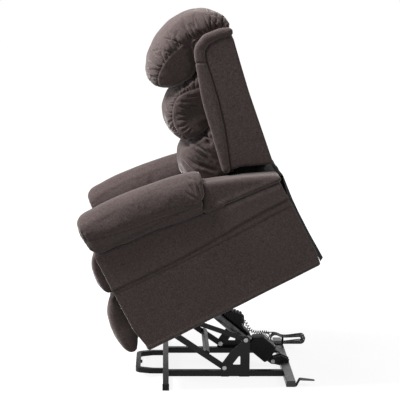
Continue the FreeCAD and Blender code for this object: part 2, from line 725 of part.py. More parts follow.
def pillow(profile, half, radii, pinch=0.06):
    """Back pillow: its profile drawn in towards the back's face at both ends."""
    t, n = back_axes()
    flat = []
    for p in profile:
        v = sub(p, BACK_LOW)
        flat.append((v[0] * n[0] + v[1] * n[1], v[0] * t[0] + v[1] * t[1]))
    heights = [b for a, b in flat]
    middle = (min(heights) + max(heights)) / 2
    sections = []
    steps = ((-1.0, 0.60, 1.0), (-0.96, 0.77, 0.6), (-0.86, 0.89, 0.3), (-0.64, 0.96, 0.1),
             (-0.32, 0.99, 0.03), (0.0, 1.0, 0.0), (0.32, 0.99, 0.03), (0.64, 0.96, 0.1),
             (0.86, 0.89, 0.3), (0.96, 0.77, 0.6), (1.0, 0.60, 1.0))
    for share, depth, draw in steps:
        points = []
        for (d, s), r in zip(flat, radii):
            dd = d * depth if d > 0 else d
            ss = middle + (s - middle) * (1 - pinch * draw)
            y = BACK_LOW[0] + n[0] * dd + t[0] * ss
            z = BACK_LOW[1] + n[1] * dd + t[1] * ss
            points.append((y, z, r * (0.5 + 0.5 * depth)))
        sections.append((half * share, points))
    return loft(sections)


def face_point(rise, gap=0.2):
    """Point just in front of the back's face, at a rise above the hinge."""
    t, n = back_axes()
    along = (HINGE[1] + rise - BACK_LOW[1]) / t[1]
    return (BACK_LOW[0] + t[0] * along + n[0] * gap, BACK_LOW[1] + t[1] * along + n[1] * gap)


def headrest():
    front = [(-166, 539), (-212, 567), (-227, 605), (-216, 651), (-177, 698), (-113, 742), (-44, 769)]
    over = [(19, 777), (70, 770), (129, 745), (164, 711), (174, 668), (170, 645), (126, 659),
            (62, 666), (12, 658)]
    profile = from_hinge(front + over)
    profile += [face_point(641, 1.5), face_point(559)] + from_hinge([(-52, 543), (-110, 535)])
    radii = [22, 36, 50, 60, 80, 120, 120, 110, 110, 80, 50, 40, 4, 4, 4, 3, 3, 6, 40, 60]
    return raised(pillow(profile, SEAT_HALF - 0.5, radii, 0.05))


def middle_pillow():
    profile = from_hinge([(-187, 317), (-217, 329), (-235, 361), (-242, 407), (-233, 457),
                          (-206, 496), (-164, 522), (-108, 526), (-54, 534)])
    profile += [face_point(551), face_point(351)] + from_hinge([(-92, 329), (-130, 318)])
    radii = [24, 30, 60, 70, 60, 50, 30, 60, 30, 6, 6, 30, 50]
    return raised(pillow(profile, SEAT_HALF - 0.5, radii))


def lumbar_pillow():
    profile = from_hinge([(-249, 129), (-271, 165), (-273, 214), (-258, 268), (-229, 305),
                          (-186, 309), (-130, 310), (-94, 320)])
    profile += [face_point(341), face_point(127)] + from_hinge([(-160, 121)])
    radii = [20, 40, 60, 60, 30, 40, 40, 30, 6, 6, 24]
    return raised(pillow(profile, SEAT_HALF - 0.5, radii))


# Legrest
def rest_pad(profile, radii, back, floor_drop):
    """Legrest pad with drawn-in ends; its flat back lies on the board."""
    heights = [p[1] for p in profile]
    middle = (min(heights) + max(heights)) / 2
    sections = []
    steps = ((-1.0, 0.55, 1.0), (-0.97, 0.78, 0.6), (-0.88, 0.94, 0.2), (-0.5, 1.0, 0.0),
             (0.5, 1.0, 0.0), (0.88, 0.94, 0.2), (0.97, 0.78, 0.6), (1.0, 0.55, 1.0))
    for share, depth, draw in steps:
        points = []
        for (y, z), r in zip(profile, radii):
            yy = back + (y - back) * depth
            zz = middle + (z - middle) * (1 - floor_drop * draw)
            points.append((yy, zz, r * (0.5 + 0.5 * depth)))
        sections.append((REST_HALF * share, points))
    return loft(sections)


BOARD_BACK = SEAT_FRONT - BOARD_GAP
BOARD_FRONT = BOARD_BACK - BOARD


def upper_board():
    return raised(box(-REST_HALF + 15, REST_HALF - 15, BOARD_FRONT, BOARD_BACK,
                      REST_FOLD + 6, REST_TOP))


def upper_pad():
    b = BOARD_FRONT
    profile = [(b, REST_TOP - 2), (-48, REST_TOP + 5), (-66, 400), (-84, 356), (-90, 302),
               (-86, 262), (-71, 238), (-48, REST_FOLD + 6), (b, REST_FOLD + 8)]
    return raised(rest_pad(profile, [3, 16, 40, 70, 80, 40, 20, 8, 3], b, 0.03))


def lower_board():
    return raised(box(-REST_HALF + 15, REST_HALF - 15, BOARD_FRONT, BOARD_BACK,
                      40, REST_FOLD - 4))


def lower_pad():
    b = BOARD_FRONT
    profile = [(b, REST_FOLD - 6), (-60, REST_FOLD - 3), (-89, 208), (-114, 162), (-125, 108),
               (-127, 56), (-124, 6), (-112, -22), (-94, -32), (-76, -27), (-45, 16), (b, 40)]
    return raised(rest_pad(profile, [3, 18, 50, 70, 80, 80, 50, 24, 16, 16, 24, 4], b, 0.02))


# Cords
def biarc(p0, t0, p1, t1):
    """Two tangent arcs from p0 to p1."""
    v = p1 - p0
    t = t0 + t1
    a = 2 * (t0.dot(t1) - 1)
    b = -2 * v.dot(t)
    c = v.dot(v)
    if abs(a) < 1e-9:
        d = c / (2 * v.dot(t))
    else:
        d = (-b - math.sqrt(b * b - 4 * a * c)) / (2 * a)
        if d < 0:
            d = (-b + math.sqrt(b * b - 4 * a * c)) / (2 * a)
    q0 = p0 + t0 * d
    q1 = p1 - t1 * d
    joint = (q0 + q1) * 0.5
    return [round_edge(p0, q0, joint), round_edge(joint, q1, p1)]


def round_edge(start, corner, end):
    """Arc that leaves start towards the corner and reaches end from it."""
    a = (start - corner).normalize()
    b = (end - corner).normalize()
    way = a + b
    if way.Length < 1e-6:
        return Part.LineSegment(start, end).toShape()
    half = a.getAngle(b) / 2
    reach = (start - corner).Length
    radius = reach * math.tan(half)
    depth = radius / math.sin(half) - radius
    middle = corner + way.normalize() * depth
    return Part.Arc(start, middle, end).toShape()


def biarc_path(points):
    """Wire of tangent arcs through (point, direction) pairs."""
    edges = []
    for (p0, t0), (p1, t1) in zip(points, points[1:]):
        edges += biarc(p0, t0, p1, t1)
    return Part.Wire(edges)


def wound(points, radius, apart, name):
    """Pipe along a wound path; its gap to itself counts past a length apart."""
    path = biarc_path(points)
    circle = Part.Wire(Part.makeCircle(radius, points[0][0], points[0][1]))
    pipe = path.makePipeShell([circle], True, False)
    count = 1400
    fine = path.discretize(Number=count)
    skip = int(apart / path.Length * count) + 1
    gap = min((fine[i] - fine[j]).Length for i in range(0, count, 3)
              for j in range(i + skip, count, 2))
    print(name, "length", round(path.Length), "gap", round(gap - 2 * radius, 2), "valid",
          pipe.isValid())
    return pipe


def act_point(s, n, x):
    """World point at s along the actuator and n above its axis."""
    a = math.radians(ACT_ANGLE)
    y = ACT_PIVOT[0] - s * math.cos(a) + n * math.sin(a)
    z = ACT_PIVOT[1] + s * math.sin(a) + n * math.cos(a)
    return vec(x, y, z)


def bspline(points, u):
    """Point on the quadratic spline that ends on its first and last control points."""
    spans = len(points) - 2
    knots = [0, 0] + list(range(spans + 1)) + [spans, spans]
    t = min(u * spans, spans - 1e-9)
    k = int(t) + 2
    near = [points[j] for j in range(k - 2, k + 1)]
    for level in (1, 2):
        for i in range(2, level - 1, -1):
            low = knots[k - 2 + i]
            share = (t - low) / (knots[k + 1 + i - level] - low)
            near[i] = near[i - 1] * (1 - share) + near[i] * share
    return near[2]


def curly_cord():
    """Curled lead that droops from the control box on to the motor."""
    x = ACT_X - 10
    root = act_point(216, 51, x) + vec(0, 0.3, 0)
    foot = act_point(72, 56.7, x)
    lift = act_point(72, 66.7, x)
    droop = [(332, 204.2), (342, 188), (352, 168), (365, 152), (384, 146.5), (404, 147),
             (424, 147.5), (440, 144)]
    route = [root] + [vec(x, y, z) for y, z in droop] + [lift, foot]
    turn_radius = (CURL_OUTER - CURL_WIRE) / 2

    def curve(u):
        base = bspline(route, u)
        slope = bspline(route, min(1, u + 0.004)) - bspline(route, max(0, u - 0.004))
        side = vec(1, 0, 0)
        up = side.cross(slope.normalize()).normalize()
        a = 2 * math.pi * CURLS * (0.62 * u + 0.38 * u * u)
        ease = max(0.0, min(1.0, 9 * u - 0.35, 6 * (1 - u) - 0.45))
        return base + (side * math.cos(a) + up * math.sin(a)) * (turn_radius * ease)

    points = []
    for k in range(4 * CURLS + 1):
        share = k / (4.0 * CURLS)
        u = (math.sqrt(0.62 ** 2 + 4 * 0.38 * share) - 0.62) / (2 * 0.38)
        ahead = curve(min(1, u + 1e-4)) - curve(max(0, u - 1e-4))
        points.append((curve(u), ahead.normalize()))
    return wound(points, CURL_WIRE / 2, 2.6 * turn_radius, "curly cord")


HANK_LOW = TUBE + CABLE / 2 + 0.3


def hank_stops():
    """Points and directions of the spare cable: long loops drawn in by their tie."""
    last = HANK_LOOPS - 1
    middle = HANK_X + HANK_PITCH * HANK_LOOPS / 2
    front = HANK_FRONT + HANK_HEIGHT / 2
    back, ahead = vec(0, 1, 0), vec(0, -1, 0)
    up, down = vec(0, 0, 1), vec(0, 0, -1)
    stops = []
    for k in range(HANK_LOOPS):
        x = HANK_X + HANK_PITCH * k
        after = x + HANK_PITCH
        tied = middle + (x - middle) * TIE_SQUEEZE
        tied_low = middle + (x + HANK_PITCH / 2 - middle) * TIE_SQUEEZE
        fan = math.sin(2.4 * k)
        r = (HANK_REAR_HEIGHT + 3 * fan) / 2
        rear = HANK_FRONT + HANK_LENGTH + 6 * fan - r
        stops += [(vec(x, front, HANK_LOW + HANK_HEIGHT), back),
                  (vec(tied, TIE_Y, HANK_LOW + TIE_HEIGHT), back),
                  (vec(x, rear, HANK_LOW + 2 * r), back),
                  (vec(x, rear + r, HANK_LOW + r), down),
                  (vec(x, rear, HANK_LOW), ahead),
                  (vec(tied_low, TIE_Y, HANK_LOW), ahead),
                  (vec(after, front, HANK_LOW), ahead)]
        if k < last:
            stops.append((vec(after, HANK_FRONT, HANK_LOW + HANK_HEIGHT / 2), up))
    return stops


def cable_hank():
    """Spare cable in long loops, lying across the rear tube."""
    return wound(hank_stops(), CABLE / 2, 30.0, "hank")


def cord_route(points, radius, name):
    """Tube along straight runs joined by tangent arcs."""
    pts = [vec(*p) for p in points]
    edges = []
    last = pts[0]
    radii = []
    for i in range(1, len(pts) - 1):
        a = pts[i - 1] - pts[i]
        b = pts[i + 1] - pts[i]
        half = a.getAngle(b) / 2
        reach = 0.45 * min(a.Length, b.Length)
        ua = vec(a.x, a.y, a.z).normalize()
        ub = vec(b.x, b.y, b.z).normalize()
        start = pts[i] + ua * reach
        end = pts[i] + ub * reach
        bend = reach * math.tan(half)
        radii.append(round(bend, 1))
        depth = bend / math.sin(half) - bend
        middle = pts[i] + (ua + ub).normalize() * depth
        edges.append(Part.LineSegment(last, start).toShape())
        edges.append(Part.Arc(start, middle, end).toShape())
        last = end
    edges.append(Part.LineSegment(last, pts[-1]).toShape())
    path = Part.Wire(edges)
    circle = Part.Wire(Part.makeCircle(radius, pts[0], pts[1] - pts[0]))
    pipe = path.makePipeShell([circle], True, False)
    share = pipe.Volume / (math.pi * radius ** 2 * path.Length)
    print(name, "radii", radii, "volume ratio", round(share, 3), "valid", pipe.isValid())
    return pipe


def motor_cable():
    """Cable from the motor's far side to the top of the hank."""
    end = hank_stops()[0][0]
    points = [(ACT_X - MOTOR_WIDTH / 2 - MOTOR_RIB - 0.3, 440, 86), (-20, 440.5, 86.5), (-55, 444, 84),
              (-97, 451, 79.5), (-140, 454, 76), (-180, 449, 73.8), (-214, 441, 72),
              (-240, 446, 70.2), (end.x, end.y - 25, end.z), (end.x, end.y, end.z)]
    return cord_route(points, CABLE / 2, "motor cable")


def tail_cable():
    """Cable from the bottom of the hank, along the rear tube, to the actuator's mount."""
    start = hank_stops()[-1][0]
    z = start.z
    mount = ACT_X - ACT_LUG / 2 - 0.5 - CLEVIS_THICK - 0.3
    points = [(start.x, start.y, z), (start.x, start.y - 24, z), (-195, 450, z), (-171, 453, z),
              (-150, 469, z), (-122, 485, z), (-88, 496, z), (-48, 504, z), (-12, 513.5, z),
              (mount, 515.5, z)]
    return cord_route(points, CABLE / 2, "tail cable")


def save(name, shape):
    solids = shape.Solids
    assert len(solids) == 1, name + " has %d solids" % len(solids)
    solids[0].exportStep("parts/" + name + ".step")
    if not solids[0].isValid():
        print("not valid:", name)


def pair(name, shape):
    save(name + "_left", shape)
    save(name + "_right", mirrored(shape))


def main():
    os.makedirs("parts", exist_ok=True)
    save("front_tube", front_tube())
    pair("front_cap", front_cap())
    pair("base_rail", rail())
    save("rear_tube", rear_tube())
    save("front_loop", front_loop())
    save("loop_bumper", loop_bumper())
    pair("tower", tower())
    plate_out = RAIL_OUT + TOWER_THICK
    pair("lift_bolt", pivot_bolt(LIFT_PIVOT, RAIL_OUT, plate_out))
    pair("guide_bolt", pivot_bolt(GUIDE_PIVOT, RAIL_OUT, plate_out))
    save("tail_bracket", tail_bracket())
    save("actuator_mount", actuator_mount())
    save("actuator_pin", actuator_pin())
    pair("lift_link", link(LIFT_PIVOT, LIFT_ANGLE, LIFT_LINK, LIFT_LINK_WIDTH))
    save("link_tube", link_tube())
    pair("guide_link", link(GUIDE_PIVOT, GUIDE_ANGLE, GUIDE_LINK, GUIDE_LINK_WIDTH, GUIDE_SLACK))
    save("actuator_motor", actuator_motor())
    save("actuator_tube", actuator_tube())
    save("control_box", control_box())
    save("actuator_rod", actuator_rod())
    pair("carrier", carrier())
    pair("seat_lift_bolt", pivot_bolt(LIFT_END, CARRIER_X, CARRIER_X + PLATE))
    pair("seat_guide_bolt", pivot_bolt(GUIDE_END, CARRIER_X, CARRIER_X + PLATE))
    save("carrier_tube", carrier_tube())
    save("seat_clevis", seat_clevis())
    save("seat_clevis_pin", seat_clevis_pin())
    pair("side_panel", side_panel())
    pair("arm_pad", arm_pad())
    pair("arm_rear", arm_rear())
    save("seat_deck", seat_deck())
    save("rear_rail", rear_rail())
    save("seat_cushion", seat_cushion())
    save("rear_flap", rear_flap())
    save("back_core", back_core())
    save("hinge_pin", hinge_pin())
    pair("wing", wing())
    save("headrest", headrest())
    save("middle_pillow", middle_pillow())
    save("lumbar_pillow", lumbar_pillow())
    save("upper_board", upper_board())
    save("upper_pad", upper_pad())
    save("lower_board", lower_board())
    save("lower_pad", lower_pad())
    save("curly_cord", curly_cord())
    save("cable_hank", cable_hank())
    save("motor_cable", motor_cable())
    save("tail_cable", tail_cable())


main()
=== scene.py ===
import math

import bmesh
import bpy
import numpy as np
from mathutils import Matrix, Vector


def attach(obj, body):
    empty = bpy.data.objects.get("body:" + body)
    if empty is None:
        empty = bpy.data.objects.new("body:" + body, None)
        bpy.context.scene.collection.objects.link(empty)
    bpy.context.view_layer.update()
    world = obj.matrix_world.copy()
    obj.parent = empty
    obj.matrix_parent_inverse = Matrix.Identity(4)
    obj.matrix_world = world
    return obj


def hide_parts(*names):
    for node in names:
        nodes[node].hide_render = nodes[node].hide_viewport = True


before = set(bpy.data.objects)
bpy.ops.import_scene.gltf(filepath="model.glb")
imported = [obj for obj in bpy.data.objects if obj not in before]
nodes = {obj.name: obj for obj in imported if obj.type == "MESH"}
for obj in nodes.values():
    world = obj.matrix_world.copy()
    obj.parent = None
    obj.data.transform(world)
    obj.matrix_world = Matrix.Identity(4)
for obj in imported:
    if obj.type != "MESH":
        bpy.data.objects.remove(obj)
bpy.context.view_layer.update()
bpy.context.scene.view_settings.view_transform = "Standard"

# Lengths are in metres, but places on the seat unit are x, along and up in millimetres
MM = 1000.0

# The raised seat unit's origin and tilt
SEAT_AT = (-0.066985, 0.175962)
TILT = math.radians(26.97)
TILT_COS, TILT_SIN = math.cos(TILT), math.sin(TILT)

# The actuator's lower pin and its angle above horizontal
MOTOR_PIN = (0.456, 0.027)
LEAN = math.radians(40.0)
LEAN_COS, LEAN_SIN = math.cos(LEAN), math.sin(LEAN)


def seat_point(x, along, up):
    """World point of a place on the seat unit."""
    y, z = along / MM, up / MM
    return Vector((x / MM, SEAT_AT[0] + y * TILT_COS - z * TILT_SIN,
                   SEAT_AT[1] + y * TILT_SIN + z * TILT_COS))


def seat_axes(points):
    """World points as places on the seat unit, one to a row."""
    y = points[:, 1] - SEAT_AT[0]
    z = points[:, 2] - SEAT_AT[1]
    return np.stack([points[:, 0], y * TILT_COS + z * TILT_SIN,
                     z * TILT_COS - y * TILT_SIN], axis=1) * MM


def motor_point(x, along, above):
    """World point beside the actuator, in metres along it and above its axis."""
    return Vector((x, MOTOR_PIN[0] - along * LEAN_COS + above * LEAN_SIN,
                   MOTOR_PIN[1] + along * LEAN_SIN + above * LEAN_COS))


def new_piece(name, data):
    piece = bpy.data.objects.new(name, data)
    bpy.context.scene.collection.objects.link(piece)
    return piece


# Camera: side view from the sitter's left, a little above the headrest

CAMERA_AT = (5.2, -0.003, 1.5445)
LOOKS_DOWN = math.atan(0.16)
QUARTER_TURN = math.radians(90.0)


def set_camera():
    camera = new_piece("camera", bpy.data.cameras.new("camera"))
    camera.data.sensor_width = 36.0
    camera.data.lens = 112.5
    camera.data.shift_x = 0.0875
    camera.data.clip_end = 100.0
    camera.location = CAMERA_AT
    camera.rotation_euler = (QUARTER_TURN - LOOKS_DOWN, 0.0, QUARTER_TURN)
    bpy.context.scene.camera = camera


set_camera()


# Cords

def cord_curve(name, points, radius):
    """Round cord along one smooth spline."""
    curve = bpy.data.curves.new(name, "CURVE")
    curve.dimensions = "3D"
    curve.resolution_u = 6
    curve.bevel_depth = radius
    curve.bevel_resolution = 3
    curve.use_fill_caps = True
    spline = curve.splines.new("NURBS")
    spline.points.add(len(points) - 1)
    for place, point in zip(spline.points, points):
        place.co = (point[0], point[1], point[2], 1.0)
    spline.order_u = 3
    spline.use_endpoint_u = True
    return new_piece(name, curve)


def spline_line(points):
    """Closely set points read from the smooth spline of a route."""
    line = cord_curve("route", points, 0.0)
    line.data.resolution_u = 24
    bpy.context.view_layer.update()
    mesh = bpy.data.meshes.new_from_object(line)
    places = [v.co.copy() for v in mesh.vertices]
    bpy.data.meshes.remove(mesh)
    bpy.data.objects.remove(line)
    return places


SUPPLY_EXIT = (0.0012, 0.440, 0.086)
SUPPLY_RADIUS = 0.0025
HANK_X = -0.262
HANK_FRONT = 0.470
HANK_LENGTH = 0.148
HANK_LOW = 0.0278
HANK_TALL = 0.040
HANK_REAR_TALL = 0.035
HANK_STEP = 0.007
TIE_Y = 0.524
TIED_TALL = 0.025
SQUEEZE = 0.82
# Each loop's rear end: how far it lies out, up at its foot and down at its top
LOOPS = ((0.004, 0.008, 0.0), (-0.006, 0.002, 0.006), (0.001, 0.0055, 0.0015),
         (-0.009, 0.0, 0.008), (0.005, 0.0065, 0.0025), (-0.004, 0.001, 0.0055),
         (0.0015, 0.0, 0.0))
# A round end follows the corners of an octagon set round its circle
END_TURNS = [math.radians(a) for a in (67.5, 22.5, -22.5, -67.5)]
END_OUT = 1.0 / math.cos(math.radians(22.5))
# How much of a loop's side stays straight: in metres in front, in radii behind
FRONT_STRAIGHT = 0.008
REAR_STRAIGHT = 0.4


def hank_points():
    """Spare cable in long loops across the rear tube, drawn in by its tie."""
    points = []
    middle = HANK_X + HANK_STEP * len(LOOPS) / 2
    front_r = HANK_TALL / 2
    front = HANK_FRONT + front_r
    for k, (reach, rise, drop) in enumerate(LOOPS):
        x = HANK_X + HANK_STEP * k
        after = x + HANK_STEP
        low = HANK_LOW + rise
        r = (HANK_REAR_TALL - rise - drop) / 2
        rear = HANK_FRONT + HANK_LENGTH + reach - r
        tied = middle + (x - middle) * SQUEEZE
        tied_low = middle + (x + HANK_STEP / 2 - middle) * SQUEEZE
        points += [(x, front + FRONT_STRAIGHT, HANK_LOW + HANK_TALL),
                   (tied, TIE_Y, HANK_LOW + TIED_TALL),
                   (x, rear - REAR_STRAIGHT * r, low + 2 * r)]
        for a in END_TURNS:
            points.append((x, rear + r * END_OUT * math.cos(a),
                           low + r + r * END_OUT * math.sin(a)))
        points += [(x, rear - REAR_STRAIGHT * r, low), (tied_low, TIE_Y, HANK_LOW),
                   (after, front + FRONT_STRAIGHT, HANK_LOW)]
        if k < len(LOOPS) - 1:
            for a in END_TURNS[::-1]:
                points.append((after, front - front_r * END_OUT * math.cos(a),
                               HANK_LOW + front_r + front_r * END_OUT * math.sin(a)))
    return points


def supply_cable():
    """Cable from the motor to the hank, its loops, and on along the rear tube."""
    lead = [SUPPLY_EXIT, (-0.020, 0.4405, 0.0865), (-0.055, 0.444, 0.084),
            (-0.097, 0.451, 0.0795), (-0.140, 0.454, 0.076), (-0.180, 0.449, 0.0738),
            (-0.214, 0.441, 0.072), (-0.240, 0.446, 0.0702), (-0.262, 0.465, 0.0678)]
    tail = [(-0.213, 0.466), (-0.195, 0.450), (-0.171, 0.453), (-0.150, 0.469), (-0.122, 0.485),
            (-0.088, 0.496), (-0.048, 0.504), (-0.012, 0.5135), (0.0207, 0.5155)]
    route = lead + hank_points() + [(x, y, HANK_LOW) for x, y in tail]
    return cord_curve("supply_cable", route, SUPPLY_RADIUS)


CURLS = 18
CURL_STEPS = 12
CURL_OUTER = 0.015
CURL_WIRE = 0.0036
# The curls' pitch is part even, part growing towards the control box
EVEN, GROWING = 0.62, 0.38
LEAD_X = 0.028
LEAD_ROOT = motor_point(LEAD_X, 0.216, 0.051) + Vector((0, 0.0003, 0))
LEAD_DROOP = ((0.332, 0.2042), (0.342, 0.188), (0.352, 0.168), (0.365, 0.152),
              (0.384, 0.1465), (0.404, 0.147), (0.424, 0.1475), (0.440, 0.144))
# Where it goes down into the motor: along the actuator, and from and to how far above it
LEAD_DOWN = 0.072
LEAD_HEIGHTS = (0.0667, 0.0567)
# How fast the curls open out from each straight end, and how much of it stays straight
BOX_OPENING, BOX_STRAIGHT = 9, 0.35
MOTOR_OPENING, MOTOR_STRAIGHT = 6, 0.45
# Points closer than this to the next one are left out
CLOSEST, CLOSEST_END = 0.0006, 0.0003


def curly_lead():
    """Curled lead from the control box that droops on to the motor."""
    route = [LEAD_ROOT] + [Vector((LEAD_X, y, z)) for y, z in LEAD_DROOP]
    route += [motor_point(LEAD_X, LEAD_DOWN, above) for above in LEAD_HEIGHTS]
    line = spline_line(route)
    last = len(line) - 1
    radius = (CURL_OUTER - CURL_WIRE) / 2
    out = 1.0 / math.cos(math.pi / CURL_STEPS)
    side = Vector((1, 0, 0))
    count = CURLS * CURL_STEPS
    places = []
    for k in range(count + 1):
        share = k / count
        u = (math.sqrt(EVEN ** 2 + 4 * GROWING * share) - EVEN) / (2 * GROWING)
        spot = u * last
        i = min(int(spot), last - 1)
        base = line[i].lerp(line[i + 1], spot - i)
        slope = (line[min(i + 2, last)] - line[max(i - 1, 0)]).normalized()
        up = side.cross(slope).normalized()
        a = 2 * math.pi * CURLS * share
        ease = max(0.0, min(1.0, BOX_OPENING * u - BOX_STRAIGHT,
                            MOTOR_OPENING * (1 - u) - MOTOR_STRAIGHT))
        places.append(base + (side * math.cos(a) + up * math.sin(a)) * (radius * out * ease))
    kept = [places[0]] + [p for p, q in zip(places, places[1:]) if (p - q).length > CLOSEST]
    if (kept[-1] - places[-1]).length > CLOSEST_END:
        kept.append(places[-1])
    return cord_curve("curly_lead", kept[:1] + kept[2:], CURL_WIRE / 2)


def shade_smooth(piece):
    for face in piece.data.polygons:
        face.use_smooth = True


TIE_MIDDLE = Vector((-0.2375, TIE_Y, 0.0404))
TIE_WIDE, TIE_TALL = 0.0482, 0.0316
TIE_BAND, TIE_THICK = 0.0048, 0.0012
TIE_STEPS = 24
TIE_SQUARENESS = 0.55
LOCK_SIZE = (0.006, 0.0056, 0.0042)
LOCK_ABOVE = 0.0018
LOCK_EDGE = 0.0007


def hank_tie():
    """Narrow strap closed round the hank, with its small lock."""
    form = bmesh.new()
    rings = []
    for edge in (-0.5, 0.5):
        for grow in (0.0, TIE_THICK):
            ring = []
            for k in range(TIE_STEPS):
                a = 2 * math.pi * k / TIE_STEPS
                c, s = math.cos(a), math.sin(a)
                x = math.copysign(abs(c) ** TIE_SQUARENESS, c) * (TIE_WIDE / 2 + grow)
                z = math.copysign(abs(s) ** TIE_SQUARENESS, s) * (TIE_TALL / 2 + grow)
                ring.append(form.verts.new(TIE_MIDDLE + Vector((x, edge * TIE_BAND, z))))
            rings.append(ring)
    inner_a, outer_a, inner_b, outer_b = rings
    for k in range(TIE_STEPS):
        n = (k + 1) % TIE_STEPS
        for a, b in ((outer_a, outer_b), (inner_b, inner_a), (inner_a, outer_a),
                     (outer_b, inner_b)):
            form.faces.new((a[k], a[n], b[n], b[k]))
    lock = bmesh.ops.create_cube(form, size=1.0)["verts"]
    wide, long, tall = LOCK_SIZE
    for v in lock:
        v.co = TIE_MIDDLE + Vector((v.co.x * wide, v.co.y * long,
                                    v.co.z * tall + TIE_TALL / 2 + TIE_THICK + LOCK_ABOVE))
    edges = [e for e in form.edges if e.verts[0] in lock and e.verts[1] in lock]
    bmesh.ops.bevel(form, geom=edges, offset=LOCK_EDGE, segments=2, affect="EDGES")
    bmesh.ops.recalc_face_normals(form, faces=form.faces[:])
    mesh = bpy.data.meshes.new("hank_tie")
    form.to_mesh(mesh)
    form.free()
    piece = new_piece("hank_tie", mesh)
    shade_smooth(piece)
    return piece


supply = supply_cable()
curly = curly_lead()
tie = hank_tie()


# Padding: each cushion is meshed evenly from its solid, and some are blown out as cloth

def vertex_array(mesh, what="co"):
    """A mesh's points as rows, or its normals."""
    data = np.empty(len(mesh.vertices) * 3, dtype=np.float64)
    mesh.vertices.foreach_get(what, data)
    return data.reshape(-1, 3)


def set_vertices(mesh, places):
    mesh.vertices.foreach_set("co", places.astype(np.float32).ravel())
    mesh.update()


def seat_places(piece):
    """x, along and up of all of a piece's points."""
    return seat_axes(vertex_array(piece.data)).T


def relax(mesh, rounds, share=0.5, weight=None):
    """Evens the surface out, as stuffing does under cloth."""
    places = vertex_array(mesh)
    edges = np.empty(len(mesh.edges) * 2, dtype=np.int64)
    mesh.edges.foreach_get("vertices", edges)
    edges = edges.reshape(-1, 2)
    count = np.bincount(edges.ravel(), minlength=len(places)).astype(float)[:, None]
    for _ in range(rounds):
        total = np.zeros_like(places)
        np.add.at(total, edges[:, 0], places[edges[:, 1]])
        np.add.at(total, edges[:, 1], places[edges[:, 0]])
        step = (total / count - places) * share
        places += step if weight is None else step * weight[:, None]
    set_vertices(mesh, places)


def evaluated_mesh(piece):
    depsgraph = bpy.context.evaluated_depsgraph_get()
    return bpy.data.meshes.new_from_object(piece.evaluated_get(depsgraph))


def apply_modifiers(piece):
    """Replaces a piece's mesh by what its modifiers make of it."""
    bpy.context.view_layer.update()
    mesh = evaluated_mesh(piece)
    piece.modifiers.clear()
    old = piece.data
    piece.data = mesh
    bpy.data.meshes.remove(old)


def wrap_on(piece, node, group=""):
    """Lays a piece's points, or a group of them, on the nearest places of the solid."""
    wrap = piece.modifiers.new("form", "SHRINKWRAP")
    wrap.target = nodes[node]
    wrap.wrap_method = "NEAREST_SURFACEPOINT"
    wrap.vertex_group = group
    apply_modifiers(piece)


def padding(name, node, grain, soften, ease=1):
    """Even-meshed copy of a padded part's form, with its edges eased."""
    piece = new_piece(name, nodes[node].data.copy())
    remesh = piece.modifiers.new("grain", "REMESH")
    remesh.mode = "VOXEL"
    remesh.voxel_size = grain
    apply_modifiers(piece)
    piece.data.materials.clear()
    relax(piece.data, soften)
    wrap_on(piece, node)
    relax(piece.data, ease)
    return piece


def hold_form(piece, node, share):
    """Lays part of a piece back on the solid's form, by a share from 0 to 1 in tenths."""
    group = piece.vertex_groups.new(name="form")
    tenths = np.round(share * 10)
    for step in range(1, 11):
        group.add(np.nonzero(tenths == step)[0].tolist(), step / 10, "REPLACE")
    wrap_on(piece, node, "form")
    piece.vertex_groups.clear()


CLOTH_PRESSURE = 4.0
CLOTH_FRAMES = 16


def blow_out(piece, held, inset, slack, cap):
    """Cloth under pressure, held where it is nailed or lies on its board.

    It starts inset from the form, is cut larger by slack, and ends within cap of the form.
    """
    mesh = piece.data
    form = vertex_array(mesh)
    free = np.where(held, 0.0, 1.0)[:, None]
    set_vertices(mesh, form - vertex_array(mesh, "normal") * inset * free)
    group = piece.vertex_groups.new(name="held")
    group.add(np.nonzero(held)[0].tolist(), 1.0, "REPLACE")
    cloth = piece.modifiers.new("cloth", "CLOTH")
    settings = cloth.settings
    settings.quality = 3
    settings.mass = 0.3
    settings.tension_stiffness = 12
    settings.compression_stiffness = 12
    settings.shear_stiffness = 5
    settings.bending_stiffness = 0.3
    settings.use_pressure = True
    settings.uniform_pressure_force = CLOTH_PRESSURE
    settings.shrink_min = -slack
    settings.vertex_group_mass = "held"
    settings.effector_weights.gravity = 0.0
    cloth.collision_settings.use_collision = False
    cloth.point_cache.frame_start = 1
    cloth.point_cache.frame_end = CLOTH_FRAMES
    for number in range(1, CLOTH_FRAMES + 1):
        bpy.context.scene.frame_set(number)
    blown = evaluated_mesh(piece)
    move = vertex_array(blown) - form
    bpy.data.meshes.remove(blown)
    piece.modifiers.clear()
    bpy.context.scene.frame_set(1)
    size = np.linalg.norm(move, axis=1, keepdims=True)
    set_vertices(mesh, form + move * np.minimum(1.0, cap / np.maximum(size, 1e-9)))
    relax(mesh, 1, 0.3)


def finer(piece):
    smooth = piece.modifiers.new("finer", "SUBSURF")
    smooth.levels = 1
    smooth.render_levels = 1
    apply_modifiers(piece)


# Shaping with given depths, widths and lines in millimetres on the seat unit

FAR = 1e9
# The sides of a pillow draw in and round off: how far out each begins, and over how far
DRAWN_FROM, DRAWN_OVER = 90, 150
ROUNDED_FROM, ROUNDED_OVER = 165, 45


def fade_in(value, start, over):
    """0 up to start, then rising to 1 over a stretch."""
    return np.clip((value - start) / over, 0, 1)


def fade_out(value, end, over):
    """Falling from 1 over a stretch, and 0 from end on."""
    return np.clip((end - value) / over, 0, 1)


def hump(off, wide):
    """1 on a line, gone beside it."""
    return np.exp(-(off / wide) ** 2)


def facing(normal):
    """1 where a surface looks along an axis, 0 where it looks away; see press."""
    return np.clip(normal, 0, 1)


def read_off(line, at):
    """Second values of a line of pairs at the given first values."""
    return np.interp(at, *np.array(line).T)


